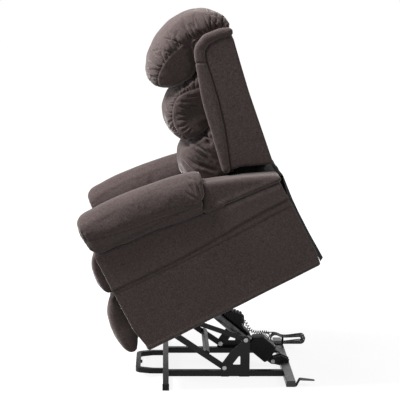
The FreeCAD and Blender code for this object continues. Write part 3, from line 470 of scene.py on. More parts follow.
def line_places(line, along, up):
    """Distance to a sewn line, the way along it and the side, for places on the seat unit."""
    best = np.full(len(along), FAR)
    way = np.zeros(len(along))
    side = np.zeros(len(along))
    run = 0.0
    for (a, b), (c, d) in zip(line, line[1:]):
        dx, dy = c - a, d - b
        size = math.hypot(dx, dy)
        share = np.clip(((along - a) * dx + (up - b) * dy) / size ** 2, 0, 1)
        off = np.hypot(along - a - share * dx, up - b - share * dy)
        near = off < best
        best = np.where(near, off, best)
        way = np.where(near, run + share * size, way)
        side = np.where(near, np.sign(dx * (up - b) - dy * (along - a)), side)
        run += size
    return best, way, side


def ripple(way, pitch, seed):
    """Uneven ridges along a seam, between -1 and 1: three waves that never fall in step."""
    a = np.sin(2 * math.pi * way / pitch + seed)
    b = np.sin(2 * math.pi * way / (pitch * 1.37) + 2.3 * seed + 1.1)
    c = np.sin(2 * math.pi * way / (pitch * 0.71) + 3.1 * seed + 0.4)
    return (a + 0.8 * b + 0.5 * c) / 2.3


def soft_lumps(places, size, seed):
    """Low, slow unevenness of stuffing."""
    x, y, z = (places / size).T
    a = np.sin(1.7 * x + 2.1 * y + seed) * np.sin(2.3 * z - 1.3 * x + 2 * seed)
    b = np.sin(3.1 * y + 1.9 * z + 3 * seed) * np.sin(2.9 * x + 1.1 + seed)
    return 0.6 * a + 0.4 * b


def press(piece, depth):
    """Moves a piece's surface out by depth, a function of its places and its normals.

    The normals are 1000 long there, as they are turned into millimetres with the places.
    """
    mesh = piece.data
    places = vertex_array(mesh)
    normals = vertex_array(mesh, "normal")
    seat = seat_axes(places)
    amount = depth(seat, seat_axes(places + normals) - seat)
    set_vertices(mesh, places + normals * (amount[:, None] / MM))


def lumps(piece, high, size, seed):
    """Gives a piece the unevenness of its stuffing."""
    press(piece, lambda places, normals: high * soft_lumps(places, size, seed))


def draw_in(piece, amount):
    """Brings the sides of a piece in towards its middle by amount."""
    places = vertex_array(piece.data)
    seat = seat_axes(places)
    share = fade_in(np.abs(seat[:, 0]), DRAWN_FROM, DRAWN_OVER) ** 2
    places[:, 0] -= np.sign(seat[:, 0]) * share * amount(seat) / MM
    set_vertices(piece.data, places)


def shift(piece, x, along, up):
    """Moves a piece's points across, along and up the seat unit."""
    moves = (x, along * TILT_COS - up * TILT_SIN, along * TILT_SIN + up * TILT_COS)
    places = vertex_array(piece.data)
    places += np.stack(np.broadcast_arrays(*moves), axis=1) / MM
    set_vertices(piece.data, places)


def shoulder(line, wide, drop, gusset, lean):
    """Side that rounds away outside its seam and leans in inside it.

    Outside it falls by drop over wide, after a low swell. Inside it leans by lean over gusset.
    """
    swell, swell_share, furthest = 3.0, 1.6, 1.15

    def amount(seat):
        off, _, side = line_places(line, seat[:, 1], seat[:, 2])
        outer = np.clip(off / wide, 0, furthest)
        beside = swell * np.sin(np.pi * np.clip(outer * swell_share, 0, 1))
        return np.where(side < 0, drop * outer ** 2 - beside, lean * fade_in(off, 0, gusset))

    return amount


def round_off(piece, line, rounds):
    """Rounds the edge where a pillow's side meets its crown."""
    x, along, up = seat_places(piece)
    off, _, side = line_places(line, along, up)
    clear_of_seam = fade_in(off, 20, 30)
    weight = fade_in(np.abs(x), ROUNDED_FROM, ROUNDED_OVER) * clear_of_seam
    relax(piece.data, rounds, 0.5, np.where(side < 0, weight, 0.0))


def gathers(line, half, seed, every, reach, depth, width):
    """Creases of gathered cloth that run out from a side seam and die away."""
    seam_deep, seam_wide, fullness, fold_start, zone_share = 4.0, 3.8, 1.5, 7, 1.15
    rng = np.random.default_rng(seed)
    total_way = sum(math.dist(a, b) for a, b in zip(line, line[1:]))
    folds = []
    for mirror in (1, -1):
        for start in np.arange(every / 2, total_way, every):
            folds.append((mirror, start + rng.uniform(-0.35, 0.35) * every,
                          rng.uniform(-0.45, 0.45), rng.uniform(-0.004, 0.004),
                          reach * rng.uniform(0.55, 1.1), depth * rng.uniform(0.5, 1.0),
                          width * rng.uniform(0.75, 1.2)))

    def amount(places, normals):
        x, along, up = places.T
        flat, way, side = line_places(line, along, up)
        off = np.hypot(flat, np.maximum(0.0, half - np.abs(x)))
        end = reach * zone_share
        zone = (side < 0) & (off < end)
        swell = fullness * np.sin(np.pi * np.clip(off / end, 0, 1))
        total = -seam_deep * hump(off, seam_wide) + np.where(zone, swell, 0.0)
        for mirror in (1, -1):
            near = np.nonzero(zone & (x * mirror > 0))[0]
            w, o = way[near], off[near]
            deepest = np.zeros(len(near))
            for own, start, lean, bend, length, deep, wide in folds:
                if own != mirror:
                    continue
                centre = start + lean * o + bend * o * o
                body = fade_in(o, 0, fold_start) * np.clip(1 - o / length, 0, 1) ** 0.5
                deepest = np.maximum(deepest, deep * body * hump(w - centre, wide))
            total[near] -= deepest
        return total

    return amount


def creases(lines, low_x):
    """Single folds beyond low_x, each given as its two ends, its depth and its width.

    A low lip runs along both sides of each; its height, place and width are shares of the
    fold's depth and width.
    """
    lip_high, lip_at, lip_wide = 0.45, 2.2, 1.3

    def amount(places, normals):
        x, along, up = places.T
        total = np.zeros(len(x))
        for start, end, deep, width in lines:
            off, way, _ = line_places([start, end], along, up)
            share = np.clip(way / math.dist(start, end), 0.03, 0.97)
            body = np.sin(np.pi * share) ** 0.6
            total -= deep * body * hump(off, width)
            total += lip_high * deep * body * hump(off - lip_at * width, lip_wide * width)
        return total * fade_in(np.abs(x), low_x, 25)

    return amount


def sew(piece, line, depth, low_x, reach=2.2):
    """Draws the points within reach of a line onto it and sinks them: a narrow seam."""
    x, along, up = seat_places(piece)
    best = np.full(len(x), FAR)
    to_line = np.zeros((len(x), 2))
    for (a, b), (c, d) in zip(line, line[1:]):
        dx, dy = c - a, d - b
        share = np.clip(((along - a) * dx + (up - b) * dy) / (dx * dx + dy * dy), 0, 1)
        gap = np.stack([a + share * dx - along, b + share * dy - up], axis=1)
        off = np.hypot(*gap.T)
        to_line = np.where((off < best)[:, None], gap, to_line)
        best = np.minimum(best, off)
    near = (best < reach) & (x > low_x)
    shift(piece, -depth * near, *(to_line * near[:, None]).T)


def mirror_of(piece, name):
    """The same piece for the other side of the chair."""
    mesh = piece.data.copy()
    places = vertex_array(mesh)
    places[:, 0] *= -1.0
    set_vertices(mesh, places)
    mesh.flip_normals()
    return new_piece(name, mesh)


# Materials

WHITE = (1, 1, 1, 1)


def set_inputs(tree, node, values):
    """Links a node's inputs to other nodes' outputs, and writes what is a number or colour."""
    for name, value in values.items():
        if isinstance(value, bpy.types.NodeSocket):
            tree.links.new(value, node.inputs[name])
        else:
            node.inputs[name].default_value = value


def add(tree, kind, values, operation=None):
    """New shader node with its inputs set."""
    node = tree.nodes.new("ShaderNode" + kind)
    if operation:
        node.operation = operation
    set_inputs(tree, node, values)
    return node


def new_group(name, numbers, outputs):
    """Node group with numbers going in, each with its usual value, and numbers coming out."""
    tree = bpy.data.node_groups.new(name, "ShaderNodeTree")
    for word, usual in numbers.items():
        made = tree.interface.new_socket(name=word, in_out="INPUT",
                                         socket_type="NodeSocketFloat")
        made.default_value = usual
    for word in outputs:
        tree.interface.new_socket(name=word, in_out="OUTPUT", socket_type="NodeSocketFloat")
    given = tree.nodes.new("NodeGroupInput").outputs
    return tree, given, tree.nodes.new("NodeGroupOutput")


def weave_group():
    """Crossed yarns: how light each spot of the cloth is, and how high it stands."""
    tree, given, out = new_group("crossed yarns", {"Yarn pitch": 0.003, "Slub": 0.5},
                                 ("Lightness", "Height"))
    place = add(tree, "TexCoord", {}).outputs["Object"]
    turned = add(tree, "Mapping", {"Rotation": (-TILT, 0.0, 0.0),
                                   "Vector": place}).outputs["Vector"]
    across = add(tree, "Math", {0: 1.0, 1: given["Yarn pitch"]}, "DIVIDE")
    yarns = []
    for stretch in ((1.0, 0.22, 1.0), (1.0, 1.0, 0.22)):
        shape = add(tree, "Mapping", {"Scale": stretch, "Vector": turned})
        yarns.append(add(tree, "TexNoise", {
            "Detail": 1.0, "Roughness": 0.4, "Scale": across.outputs[0],
            "Vector": shape.outputs["Vector"]}).outputs["Fac"])
    higher = add(tree, "Math", dict(enumerate(yarns)), "MAXIMUM").outputs[0]
    slub = add(tree, "TexNoise", {"Scale": 170.0, "Detail": 4.0, "Vector": turned})
    light = add(tree, "Mix", {"Factor": given["Slub"], "A": higher, "B": slub.outputs["Fac"]})
    set_inputs(tree, out, {"Lightness": light.outputs["Result"], "Height": higher})
    return tree


def scuffs_group():
    """Scuffs and specks on a painted or moulded surface."""
    tree, given, out = new_group("scuffs", {"Size": 40.0}, ("Scuff", "Speck"))
    place = add(tree, "TexCoord", {}).outputs["Object"]
    broad = add(tree, "TexNoise", {"Detail": 6.0, "Vector": place, "Scale": given["Size"]})
    sharper = add(tree, "MapRange", {"From Min": 0.35, "From Max": 0.75,
                                     "Value": broad.outputs["Fac"]})
    fine = add(tree, "TexNoise", {"Scale": 900.0, "Vector": place})
    set_inputs(tree, out, {"Scuff": sharper.outputs["Result"], "Speck": fine.outputs["Fac"]})
    return tree


WEAVE = weave_group()
SCUFFS = scuffs_group()


def new_material(name):
    """Material with its tree and its shader."""
    material = bpy.data.materials.new(name)
    material.use_nodes = True
    tree = material.node_tree
    return material, tree, tree.nodes["Principled BSDF"]


def placed_group(tree, group, values):
    """Outputs of a shared effect placed in a material with its own values."""
    node = tree.nodes.new("ShaderNodeGroup")
    node.node_tree = group
    set_inputs(tree, node, values)
    return node.outputs


def ramp(tree, source, dark, light, low=0.3, high=0.7):
    """Colour between two shades by a mask."""
    node = add(tree, "ValToRGB", {"Fac": source})
    for stop, place, shade in zip(node.color_ramp.elements, (low, high), (dark, light)):
        stop.position = place
        stop.color = (*shade, 1.0)
    return node.outputs["Color"]


def bumped(tree, height, strength, distance):
    """Normal of a surface raised by a height mask."""
    return add(tree, "Bump", {"Strength": strength, "Distance": distance,
                              "Height": height}).outputs["Normal"]


def cloth(name, dark, light, pitch=0.0035, slub=0.45, bump=0.5, sheen=0.25):
    material, tree, skin = new_material(name)
    weave = placed_group(tree, WEAVE, {"Yarn pitch": pitch, "Slub": slub})
    set_inputs(tree, skin, {
        "Base Color": ramp(tree, weave["Lightness"], dark, light, 0.36, 0.68),
        "Normal": bumped(tree, weave["Height"], bump, 0.0012),
        "Roughness": 0.95,
        "Specular IOR Level": 0.15,
        "Sheen Weight": sheen,
        "Sheen Roughness": 0.4,
        "Sheen Tint": (0.85, 0.79, 0.77, 1.0)})
    return material


def hard(name, dark, light, rough, metal=0.0, size=40.0, bump=0.1, shine=0.5):
    """Painted, moulded or bare metal surface with scuffs."""
    material, tree, skin = new_material(name)
    wear = placed_group(tree, SCUFFS, {"Size": size})
    gloss = add(tree, "MapRange", {"To Min": rough - 0.06, "To Max": rough + 0.06,
                                   "Value": wear["Scuff"]})
    set_inputs(tree, skin, {
        "Base Color": ramp(tree, wear["Scuff"], dark, light, 0.2, 0.95),
        "Roughness": gloss.outputs["Result"],
        "Normal": bumped(tree, wear["Speck"], bump, 0.0003),
        "Metallic": metal,
        "Specular IOR Level": shine})
    return material


def wood(name):
    material, tree, skin = new_material(name)
    place = add(tree, "TexCoord", {}).outputs["Object"]
    stretch = add(tree, "Mapping", {"Scale": (4.0, 60.0, 60.0), "Vector": place})
    grain = add(tree, "TexNoise", {"Scale": 3.0, "Detail": 8.0, "Distortion": 1.2,
                                   "Vector": stretch.outputs["Vector"]})
    colour = ramp(tree, grain.outputs["Fac"], (0.30, 0.19, 0.10), (0.55, 0.40, 0.24))
    set_inputs(tree, skin, {"Base Color": colour, "Roughness": 0.7})
    return material


chenille = cloth("taupe chenille", (0.051, 0.0380, 0.0366), (0.116, 0.0872, 0.0838),
                 bump=0.8, sheen=0.5)
dust_cloth = cloth("black dust cloth", (0.006, 0.006, 0.007), (0.022, 0.021, 0.022),
                   pitch=0.0018, slub=0.25, sheen=0.05)
black_paint = hard("black powder paint", (0.005, 0.005, 0.006), (0.013, 0.013, 0.014),
                   rough=0.42, bump=0.25, shine=0.22)
# Painted light: the rear tube's black paint is lighter than the frame's to stand in for the
# light on its top; its scuffs are wear
lit_worn_paint = hard("worn black paint lightened as lit", (0.012, 0.012, 0.013), (0.040, 0.040, 0.041),
                  rough=0.33, bump=0.3)
zinc = hard("zinc plate", (0.26, 0.26, 0.27), (0.48, 0.48, 0.50), rough=0.36, metal=1.0,
            size=90.0)
grey_tube = hard("grey tube", (0.060, 0.060, 0.064), (0.150, 0.150, 0.156), rough=0.32,
                 metal=0.7)
moulding = hard("black moulding", (0.005, 0.005, 0.0055), (0.011, 0.011, 0.012), rough=0.5,
                bump=0.5, shine=0.15)
cable_skin = hard("black cable", (0.005, 0.005, 0.005), (0.014, 0.014, 0.014), rough=0.24,
                  size=120.0)
rubber = hard("black rubber", (0.010, 0.010, 0.010), (0.024, 0.024, 0.024), rough=0.75,
              bump=0.5)
board = wood("board")


# Rigid parts keep their CAD form

def paint(material, *names):
    for name in names:
        data = nodes[name].data
        data.materials.clear()
        data.materials.append(material)


def both(*names):
    return [name + side for name in names for side in ("_left", "_right")]


paint(black_paint, "front_tube", "front_loop", "tail_bracket", "actuator_mount", "link_tube",
      "carrier_tube", "seat_clevis",
      *both("base_rail", "tower", "lift_link", "guide_link", "carrier"))
paint(lit_worn_paint, "rear_tube")
paint(zinc, "actuator_pin", "seat_clevis_pin", "hinge_pin", "actuator_rod",
      *both("lift_bolt", "guide_bolt", "seat_lift_bolt", "seat_guide_bolt"))
paint(grey_tube, "actuator_tube")
paint(moulding, "actuator_motor", "control_box", *both("front_cap"))
paint(rubber, "loop_bumper")
paint(dust_cloth, "seat_deck", "upper_board", "lower_board")
paint(board, "rear_rail")

supply.data.materials.append(cable_skin)
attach(supply, "base")
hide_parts("motor_cable", "cable_hank", "tail_cable")

tie.data.materials.append(moulding)
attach(tie, "base")

curly.data.materials.append(cable_skin)
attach(curly, "actuator")
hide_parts("curly_cord")


def finish_padding(piece, node, body):
    shade_smooth(piece)
    piece.data.materials.append(chenille)
    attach(piece, body)
    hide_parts(node)


def finish_pair(piece, name, node, body):
    """Finishes a left piece, and its mirror as the right one."""
    right = mirror_of(piece, name + "_right")
    finish_padding(piece, node + "_left", body)
    finish_padding(right, node + "_right", body)


# Back: core, wings and three pillows

HEAD_SEAM = [(876, 980), (852, 988), (808, 998), (772, 1002), (732, 1003), (700, 1006),
             (661, 1007), (631, 1000), (607, 994), (583, 985), (554, 969), (530, 952),
             (511, 932), (501, 908), (507, 882)]
MIDDLE_SEAM = [(662, 820), (645, 827), (609, 832), (582, 835), (553, 832), (528, 818),
               (507, 795), (491, 765), (484, 735), (485, 709), (494, 688)]
MIDDLE_FOLDS = [((522, 772), (548, 752), 5.0, 4.0), ((513, 748), (545, 735), 4.5, 4.0),
                ((538, 796), (575, 768), 5.5, 4.2), ((560, 806), (592, 790), 4.5, 4.0),
                ((503, 722), (530, 716), 4.5, 4.0), ((508, 700), (536, 704), 5.0, 4.0),
                ((572, 782), (606, 762), 4.0, 4.0), ((590, 812), (628, 800), 4.0, 4.0),
                ((516, 684), (540, 690), 4.0, 4.0)]
LUMBAR_FOLDS = [((494, 642), (545, 560), 7.5, 6.0), ((516, 652), (560, 575), 6.5, 5.5),
                ((468, 604), (508, 538), 7.0, 6.0), ((590, 668), (580, 600), 6.0, 6.0),
                ((536, 640), (566, 540), 6.0, 6.0), ((450, 592), (470, 536), 5.0, 6.0),
                ((500, 560), (552, 500), 6.0, 6.0), ((566, 655), (600, 620), 5.0, 5.0)]
PILLOW_SIDE = 225
HEAD_FREE_FROM = 1000
# The back's face goes through this place, along and up, and leans back as it rises
BACK_FACE = (598, 330)
BACK_LEAN = 102.0 / 655.0
HELD_BEFORE_FACE = 9


def on_back_face(piece):
    """Which places lie against the back's face."""
    x, along, up = seat_places(piece)
    face = BACK_FACE[0] + (up - BACK_FACE[1]) * BACK_LEAN
    return along > face - HELD_BEFORE_FACE


def headrest():
    piece = padding("headrest_cushion", "headrest", grain=0.0052, soften=4)
    held = on_back_face(piece) & (seat_places(piece)[2] < HEAD_FREE_FROM)
    blow_out(piece, held, inset=0.007, slack=0.03, cap=0.005)
    draw_in(piece, shoulder(HEAD_SEAM, wide=100, drop=34, gusset=90, lean=12))
    round_off(piece, HEAD_SEAM, 34)
    finer(piece)
    press(piece, gathers(HEAD_SEAM, PILLOW_SIDE, seed=5, every=14, reach=92, depth=12.0,
                         width=4.2))
    lumps(piece, 1.6, 60, 0.4)
    finish_padding(piece, "headrest", "back")


def middle_pillow():
    piece = padding("middle_cushion", "middle_pillow", grain=0.0052, soften=3)
    blow_out(piece, on_back_face(piece), inset=0.007, slack=0.035, cap=0.005)
    draw_in(piece, shoulder(MIDDLE_SEAM, wide=60, drop=18, gusset=110, lean=22))
    round_off(piece, MIDDLE_SEAM, 16)
    finer(piece)
    press(piece, gathers(MIDDLE_SEAM, PILLOW_SIDE, seed=11, every=14, reach=48, depth=8.0,
                         width=4.0))
    press(piece, creases(MIDDLE_FOLDS, 190))
    lumps(piece, 1.4, 50, 1.3)
    finish_padding(piece, "middle_pillow", "back")


def lumbar_pillow():
    piece = padding("lumbar_cushion", "lumbar_pillow", grain=0.0055, soften=3)
    blow_out(piece, on_back_face(piece), inset=0.007, slack=0.035, cap=0.005)
    finer(piece)
    press(piece, creases(LUMBAR_FOLDS, 120))
    lumps(piece, 1.4, 50, 2.1)
    finish_padding(piece, "lumbar_pillow", "back")


def back_shell():
    """Back upholstery; its heel below the wings is black: partly real black cloth, partly
    painted shade for the shadow that falls there.
    """
    piece = padding("back_upholstery", "back_core", grain=0.0075, soften=3)
    finer(piece)

    def depth(places, normals):
        x, along, up = places.T
        seam = -2.2 * (hump(np.abs(x) - 215, 4.0) * (normals[:, 1] > 0.6))
        heel = 7.5 * fade_out(up, 460, 30) * facing(normals[:, 1]) * (along > 690)
        return seam + heel + 1.2 * soft_lumps(places, 90, 1.2)

    press(piece, depth)
    finish_padding(piece, "back_core", "back")
    piece.data.materials.append(dust_cloth)
    # Painted shade: faces of the heel below a sloping plane take the black cloth, partly as the
    # real cloth there and partly standing in for the shade under the wings
    centres = np.array([face.center for face in piece.data.polygons])
    x, along, up = seat_axes(centres).T
    black_cloth_and_shade = up < 472 - 0.4 * (along - 646)
    piece.data.polygons.foreach_set("material_index", black_cloth_and_shade.astype(np.int32))


WING_SEAM = [(606, 478), (614, 500), (661, 640), (689, 754), (704, 840), (712, 894), (718, 925),
             (729, 946), (751, 961), (794, 962), (856, 949)]
WING_TUCK = [(670, 922), (716, 903)]


def wings():
    """Wings with a full band in front of their seam and a flat panel behind it."""
    piece = padding("wing_cover_left", "wing_left", grain=0.0046, soften=3)
    finer(piece)

    def depth(places, normals):
        x, along, up = places.T
        off, way, side = line_places(WING_SEAM, along, up)
        rim = fade_in(off, 0, 34)
        crown = 8.0 * np.sqrt(rim * (2 - rim)) * np.clip(1.25 - off / 60.0, 0, 1)
        band = np.where(side > 0, crown, 0.0)
        panel = np.where(side <= 0, 2.0 * (1 - hump(off, 14)) * np.exp(-off / 90.0), 0.0)
        seam = -6.5 * hump(off, 4.2)
        tuck = -4.0 * hump(line_places(WING_TUCK, along, up)[0], 3.6) * (side > 0)
        pull = 1.2 * ripple(way, 24, 2.0) * hump(off, 12)
        top = 2.4 * fade_in(up, 955, 20) * facing(normals[:, 2])
        return (band + panel + seam + tuck + pull) * fade_in(x, 290, 18) + top

    press(piece, depth)
    finish_pair(piece, "wing_cover", "wing", "back")


# Seat unit: cushion, arms and side panels

CUSHION_SEAM = [(-30, 350), (600, 338)]
CUSHION_HELD = 262


def cushion():
    piece = padding("seat_cushion_cover", "seat_cushion", grain=0.0075, soften=3)
    blow_out(piece, seat_places(piece)[2] < CUSHION_HELD, inset=0.008, slack=0.02, cap=0.008)
    finer(piece)

    def groove(places, normals):
        return -2.6 * hump(line_places(CUSHION_SEAM, places[:, 1], places[:, 2])[0], 3.5)

    press(piece, groove)
    lumps(piece, 2.0, 80, 2.2)
    finish_padding(piece, "seat_cushion", "seat")


PAD_SEAM = [(-24, 530), (-14, 509), (20, 497), (69, 486), (119, 476), (177, 465), (232, 459),
            (283, 453), (332, 444), (381, 436), (460, 428)]
PAD_FOLDS = [((478, 545), (456, 440), 6.0, 5.0), ((446, 515), (450, 440), 4.5, 5.0),
             ((484, 535), (478, 488), 5.0, 4.5), ((420, 498), (448, 446), 4.5, 5.0),
             ((370, 462), (440, 436), 3.0, 5.0), ((440, 555), (470, 520), 3.5, 5.0),
             ((-25, 566), (-26, 520), 4.0, 4.5), ((-16, 545), (-12, 500), 4.0, 4.5)]
PAD_HELD = 436


def arm_pads():
    piece = padding("arm_cushion_left", "arm_pad_left", grain=0.0052, soften=4)
    blow_out(piece, seat_places(piece)[2] < PAD_HELD, inset=0.006, slack=0.02, cap=0.005)
    finer(piece)
    x, along, up = seat_places(piece)
    hold_form(piece, "arm_pad_left", fade_out(up, 475, 30) * fade_out(along, 60, 25))

    def depth(places, normals):
        x, along, up = places.T
        off, _, side = line_places(PAD_SEAM, along, up)
        seam = -3.6 * hump(off, 4.6)
        band = np.where(side < 0, -5.0 * (1 - hump(off, 16)), 0.0)
        swell = np.where(side > 0, 2.6 * hump(off - 30, 24), 0.0)
        end = 2.0 * fade_in(along, 455, 12) * facing(normals[:, 1])
        tip = hump(along + 16, 20) * 1.2 * ripple(up, 24, 2.4)
        nose = 3.5 * hump(along - 6, 34) * fade_in(up, 500, 30)
        outside = (seam + band + swell + end) * fade_in(x, 392, 14)
        return outside + tip + nose + 1.2 * soft_lumps(places, 70, 0.8)

    press(piece, depth)
    press(piece, creases(PAD_FOLDS, 385))
    # The rear end of the pad falls away and turns in
    x, along, up = seat_places(piece)
    end = fade_in(along, 462, 52) * fade_in(up, 440, 90)
    inward = 7.0 * fade_in(along, 482, 34) ** 2 * fade_in(x, 330, 60)
    shift(piece, -inward, 0.0, -17.0 * end ** 2.4)
    finish_pair(piece, "arm_cushion", "arm_pad", "seat")


TOP_SEAM = [(-60, 432), (-5.6, 430), (214, 416), (431, 390), (751, 368.5), (800, 368.5)]


def arm_rears():
    piece = padding("arm_rear_cover_left", "arm_rear_left", grain=0.006, soften=3)
    x, along, up = seat_places(piece)
    above = up - read_off(TOP_SEAM, along)
    relax(piece.data, 16, 0.5, fade_in(above, 16, 18) * fade_in(x, 300, 20))
    finer(piece)

    def depth(places, normals):
        x, along, up = places.T
        foot = 2.6 * hump(line_places(TOP_SEAM, along, up)[0] - 8, 12)
        end = 3.2 * (fade_out(along, 530, 10) * facing(-normals[:, 1]))
        return (foot + end) * fade_in(x, 380, 12) + 0.9 * soft_lumps(places, 60, 1.9)

    press(piece, depth)
    finish_pair(piece, "arm_rear_cover", "arm_rear", "seat")


# Where the panels' two seams are grooved in the solid, and where they are sewn
SOLID_SEAMS = [[(-40, 275.4), (790, 269.6)], [(-40, 261.4), (790, 255.6)]]
UPPER_SEAM = [(-40, 275.4), (275, 271.5), (380, 275), (506, 283), (571, 287.5), (664, 291),
              (790, 292)]
LOWER_SEAM = [(-40, 259), (369, 254), (514, 257), (596, 259), (679, 261), (790, 262)]
# How far the panels' rear edge stands back from the solid's, by height
REAR_EDGE = [(0, 4.5), (25, 8.0), (56, 9.5), (104, 5.5), (125, 3.6), (195, -1.8), (265, -4.5),
             (295, -7.0), (345, -8.0), (370, -8.0)]
PANEL_OUTSIDE = 385


def side_panels():
    """Side panels in three fields, each standing a step out from the one below its seam."""
    piece = padding("side_cover_left", "side_panel_left", grain=0.0038, soften=1, ease=0)
    x, along, up = seat_places(piece)
    near = np.minimum(*[line_places(line, along, up)[0] for line in SOLID_SEAMS])
    relax(piece.data, 14, 0.5, hump(near, 8) * (x > 380) * (along > 6) * (along < 748))
    x, along, up = seat_places(piece)
    shift(piece, 0.0, read_off(REAR_EDGE, up) * fade_in(along, 680, 60) ** 1.5, 0.0)

    def depth(places, normals):
        x, along, up = places.T
        outside = fade_in(x, PANEL_OUTSIDE, 12)
        total = np.zeros(len(x))
        for line, high, low in ((UPPER_SEAM, 2.4, -1.2), (LOWER_SEAM, 1.2, -0.5)):
            off = line_places(line, along, up)[0]
            above = high * (1 - hump(off, 3.4)) * np.exp(-off / 26.0)
            below = low * np.exp(-off / 20.0)
            total += np.where(up > read_off(line, along), above, below)
        top = line_places(TOP_SEAM, along, up)[0]
        total -= 4.2 * hump(top, 15) * fade_in(along, 500, 30)
        total -= 3.0 * hump(top, 4) * fade_out(along, 530, 30)
        total = total * outside + 1.2 * soft_lumps(places, 120, 0.3) * outside
        hem = facing(-normals[:, 2]) * fade_out(up, 20, 20)
        return total + hem * (5.0 - along * 0.004)

    press(piece, depth)
    sew(piece, UPPER_SEAM, 3.6, PANEL_OUTSIDE)
    sew(piece, LOWER_SEAM, 1.8, PANEL_OUTSIDE)
    finish_pair(piece, "side_cover", "side_panel", "seat")
    return piece


# The rear cloth's middle, as height and place along; its flat size in metres
FLAP_MIDDLE = [(356, 783.0), (318, 780.0), (260, 775.0), (200, 773.4), (143, 774.2), (83, 774.6),
               (28, 776.0), (-12, 776.5)]
FLAP_SIZE = (0.60, 0.384)
FLAP_THICK = 0.0022
FLAP_GRID = (96, 62)
LIP_ROWS = 5
# How far from its side edges the cloth becomes full, and where its lip begins to turn over
FULL_OVER = 45.0
LIP_FROM, LIP_OVER = 42.0, 24.0
LIP_FORWARD, LIP_UP, LIP_UP_AT_SIDES = 13.0, 5.0, 0.42


def flap_lines(panel):
    """Heights of the cloth's rows, and how far back it hangs at its sides and its middle."""
    top, bottom = FLAP_MIDDLE[0][0], FLAP_MIDDLE[-1][0]
    heights = np.linspace(top, bottom, FLAP_GRID[1] + 1)
    middle = read_off(FLAP_MIDDLE[::-1], heights)
    x, along, up = seat_places(panel)
    # The panel's rear face, measured near each height, but not below its rounded hem
    hem, band, inside, gap = 44, 5, 320, 1.3
    backs = [along[(np.abs(up - max(height, hem)) < band) & (x < inside)].max()
             for height in heights]
    flare = 16.0 * fade_in(heights, 280, 76)
    side = np.array(backs) + gap + flare
    for line in (side, middle):
        for _ in range(3):
            line[1:-1] = (line[:-2] + 2 * line[1:-1] + line[2:]) / 4
    return heights, side, middle


def rear_cloth(panel):
    """Cloth behind the seat box: a lip at its top, drawn in to the panels, full between them."""
    heights, side, middle = flap_lines(panel)
    columns, rows = FLAP_GRID
    width = FLAP_SIZE[0] * MM
    form = bmesh.new()
    grid = []
    for j in range(-LIP_ROWS, rows + 1):
        level = max(j, 0)
        v = level / rows
        loose = 1.9 * max(0.0, v - 0.62) + 0.9 * max(0.0, 0.25 - v)
        row = []
        for i in range(columns + 1):
            u = i / columns
            edge = min(u, 1 - u) * width
            full = min(1.0, edge / FULL_OVER)
            full = full * full * (3 - 2 * full)
            along = side[level] * (1 - full) + middle[level] * full
            wave = math.sin(17 * u + 1.2 * math.sin(5 * v))
            along += 4.2 * wave * loose * full
            up = heights[level]
            if j < 0:
                turn = QUARTER_TURN * -j / LIP_ROWS
                between = min(1.0, max(0.0, (edge - LIP_FROM) / LIP_OVER))
                along -= LIP_FORWARD * (1 - math.cos(turn)) * between
                up += LIP_UP * math.sin(turn) * between - LIP_UP_AT_SIDES * j * (1 - between)
            row.append(form.verts.new(seat_point((u - 0.5) * width, along, up)))
        grid.append(row)
    for above, below in zip(grid, grid[1:]):
        for i in range(columns):
            form.faces.new((above[i], below[i], below[i + 1], above[i + 1]))
    form.normal_update()
    mesh = bpy.data.meshes.new("rear_cloth")
    form.to_mesh(mesh)
    form.free()
    piece = new_piece("rear_cloth", mesh)
    thick = piece.modifiers.new("thickness", "SOLIDIFY")
    thick.thickness = FLAP_THICK
    thick.offset = 0.0
    apply_modifiers(piece)
    shade_smooth(piece)
    piece.data.materials.append(dust_cloth)
    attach(piece, "seat")
    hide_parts("rear_flap")


# Legrest

BOARD_FRONT = -36
CROWN_FLAT = 12
SIDES_DRAWN = 42.0


def rest_pad(name, node, body, seed, over):
    """Legrest pad, held on its board; its sides draw in towards the board."""
    piece = padding(name, node, grain=0.006, soften=3)
    along = seat_places(piece)[1]
    blow_out(piece, along > BOARD_FRONT, inset=0.006, slack=0.02, cap=0.004)
    front = along.min()
    draw_in(piece, lambda seat: (
        SIDES_DRAWN * fade_in(seat[:, 1] - front, CROWN_FLAT, over) ** 1.3))
    relax(piece.data, 8)
    finer(piece)
    lumps(piece, 1.3, 60, seed)
    finish_padding(piece, node, body)


headrest()
middle_pillow()
lumbar_pillow()
back_shell()
wings()
cushion()
arm_pads()
arm_rears()
rear_cloth(side_panels())
rest_pad("upper_rest_pad", "upper_pad", "legrest", seed=0.5, over=70.0)
rest_pad("lower_rest_pad", "lower_pad", "legrest_end", seed=1.5, over=95.0)


# Floor, white surround and soft light

FLOOR_HALF = 40.0


def either(tree, first, second):
    return add(tree, "Math", {0: first, 1: second}, "MAXIMUM").outputs[0]


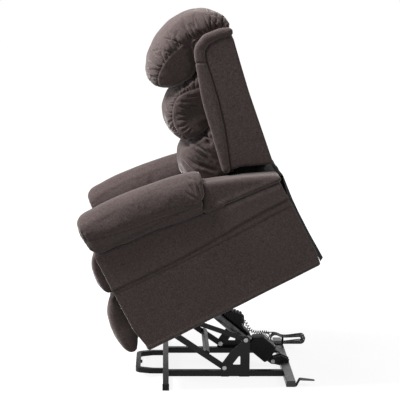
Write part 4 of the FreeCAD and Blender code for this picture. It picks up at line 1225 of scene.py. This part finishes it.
def pale_floor():
    """Material that keeps the chair's shadow, and shows paler to the camera and in gloss."""
    material, tree, skin = new_material("pale floor")
    grain = add(tree, "TexNoise", {"Scale": 300.0})
    colour = ramp(tree, grain.outputs["Fac"], (0.31, 0.31, 0.31), (0.34, 0.34, 0.34))
    set_inputs(tree, skin, {"Roughness": 0.9, "Specular IOR Level": 0.0, "Base Color": colour})
    place = add(tree, "TexCoord", {}).outputs["Object"]
    away = add(tree, "VectorMath", {0: place}, "LENGTH").outputs["Value"]
    paler = add(tree, "MapRange", {"From Min": 0.9, "From Max": 3.5, "To Min": 0.86,
                                   "To Max": 1.0, "Value": away})
    seen = add(tree, "LightPath", {}).outputs
    share = add(tree, "Math", {0: either(tree, seen["Is Camera Ray"], seen["Is Glossy Ray"]),
                               1: paler.outputs["Result"]}, "MULTIPLY")
    white = add(tree, "Emission", {"Color": WHITE, "Strength": share.outputs[0]})
    together = add(tree, "AddShader", {0: skin.outputs[0], 1: white.outputs[0]})
    set_inputs(tree, tree.nodes["Material Output"], {"Surface": together.outputs[0]})
    return material


def floor():
    half = FLOOR_HALF
    mesh = bpy.data.meshes.new("floor")
    corners = [(-half, -half, 0.0), (half, -half, 0.0), (half, half, 0.0), (-half, half, 0.0)]
    mesh.from_pydata(corners, [], [(0, 1, 2, 3)])
    piece = new_piece("floor", mesh)
    mesh.materials.append(pale_floor())


def studio_world():
    """Dim even light, which the camera, gloss and glass see as white."""
    world = bpy.data.worlds.new("studio")
    bpy.context.scene.world = world
    world.use_nodes = True
    tree = world.node_tree
    tree.nodes.clear()
    seen = add(tree, "LightPath", {}).outputs
    as_white = either(tree, either(tree, seen["Is Camera Ray"], seen["Is Glossy Ray"]),
                      seen["Is Transmission Ray"])
    dim = add(tree, "Background", {"Color": WHITE, "Strength": 0.25})
    white = add(tree, "Background", {"Color": WHITE, "Strength": 1.0})
    mix = add(tree, "MixShader", {"Fac": as_white, 1: dim.outputs[0], 2: white.outputs[0]})
    add(tree, "OutputWorld", {"Surface": mix.outputs[0]})


def soft_light(name, place, aim, size, watts):
    lamp = bpy.data.lights.new(name, "AREA")
    lamp.shape = "SQUARE"
    lamp.size = size
    lamp.energy = watts
    piece = new_piece(name, lamp)
    piece.location = place
    piece.rotation_euler = (Vector(aim) - Vector(place)).to_track_quat("-Z", "Y").to_euler()


floor()
studio_world()
soft_light("overhead", (0.7, -2.3, 3.9), (0.0, 0.1, 0.7), size=1.2, watts=228.0)
soft_light("front", (-0.3, -4.0, 1.9), (0.0, 0.0, 0.7), size=1.0, watts=44.0)
soft_light("crown", (0.1, -0.25, 2.1), (0.0, 0.0, 1.45), size=0.5, watts=4.0)
soft_light("rear", (1.4, 3.4, 2.6), (0.0, 0.2, 0.7), size=1.6, watts=30.0)
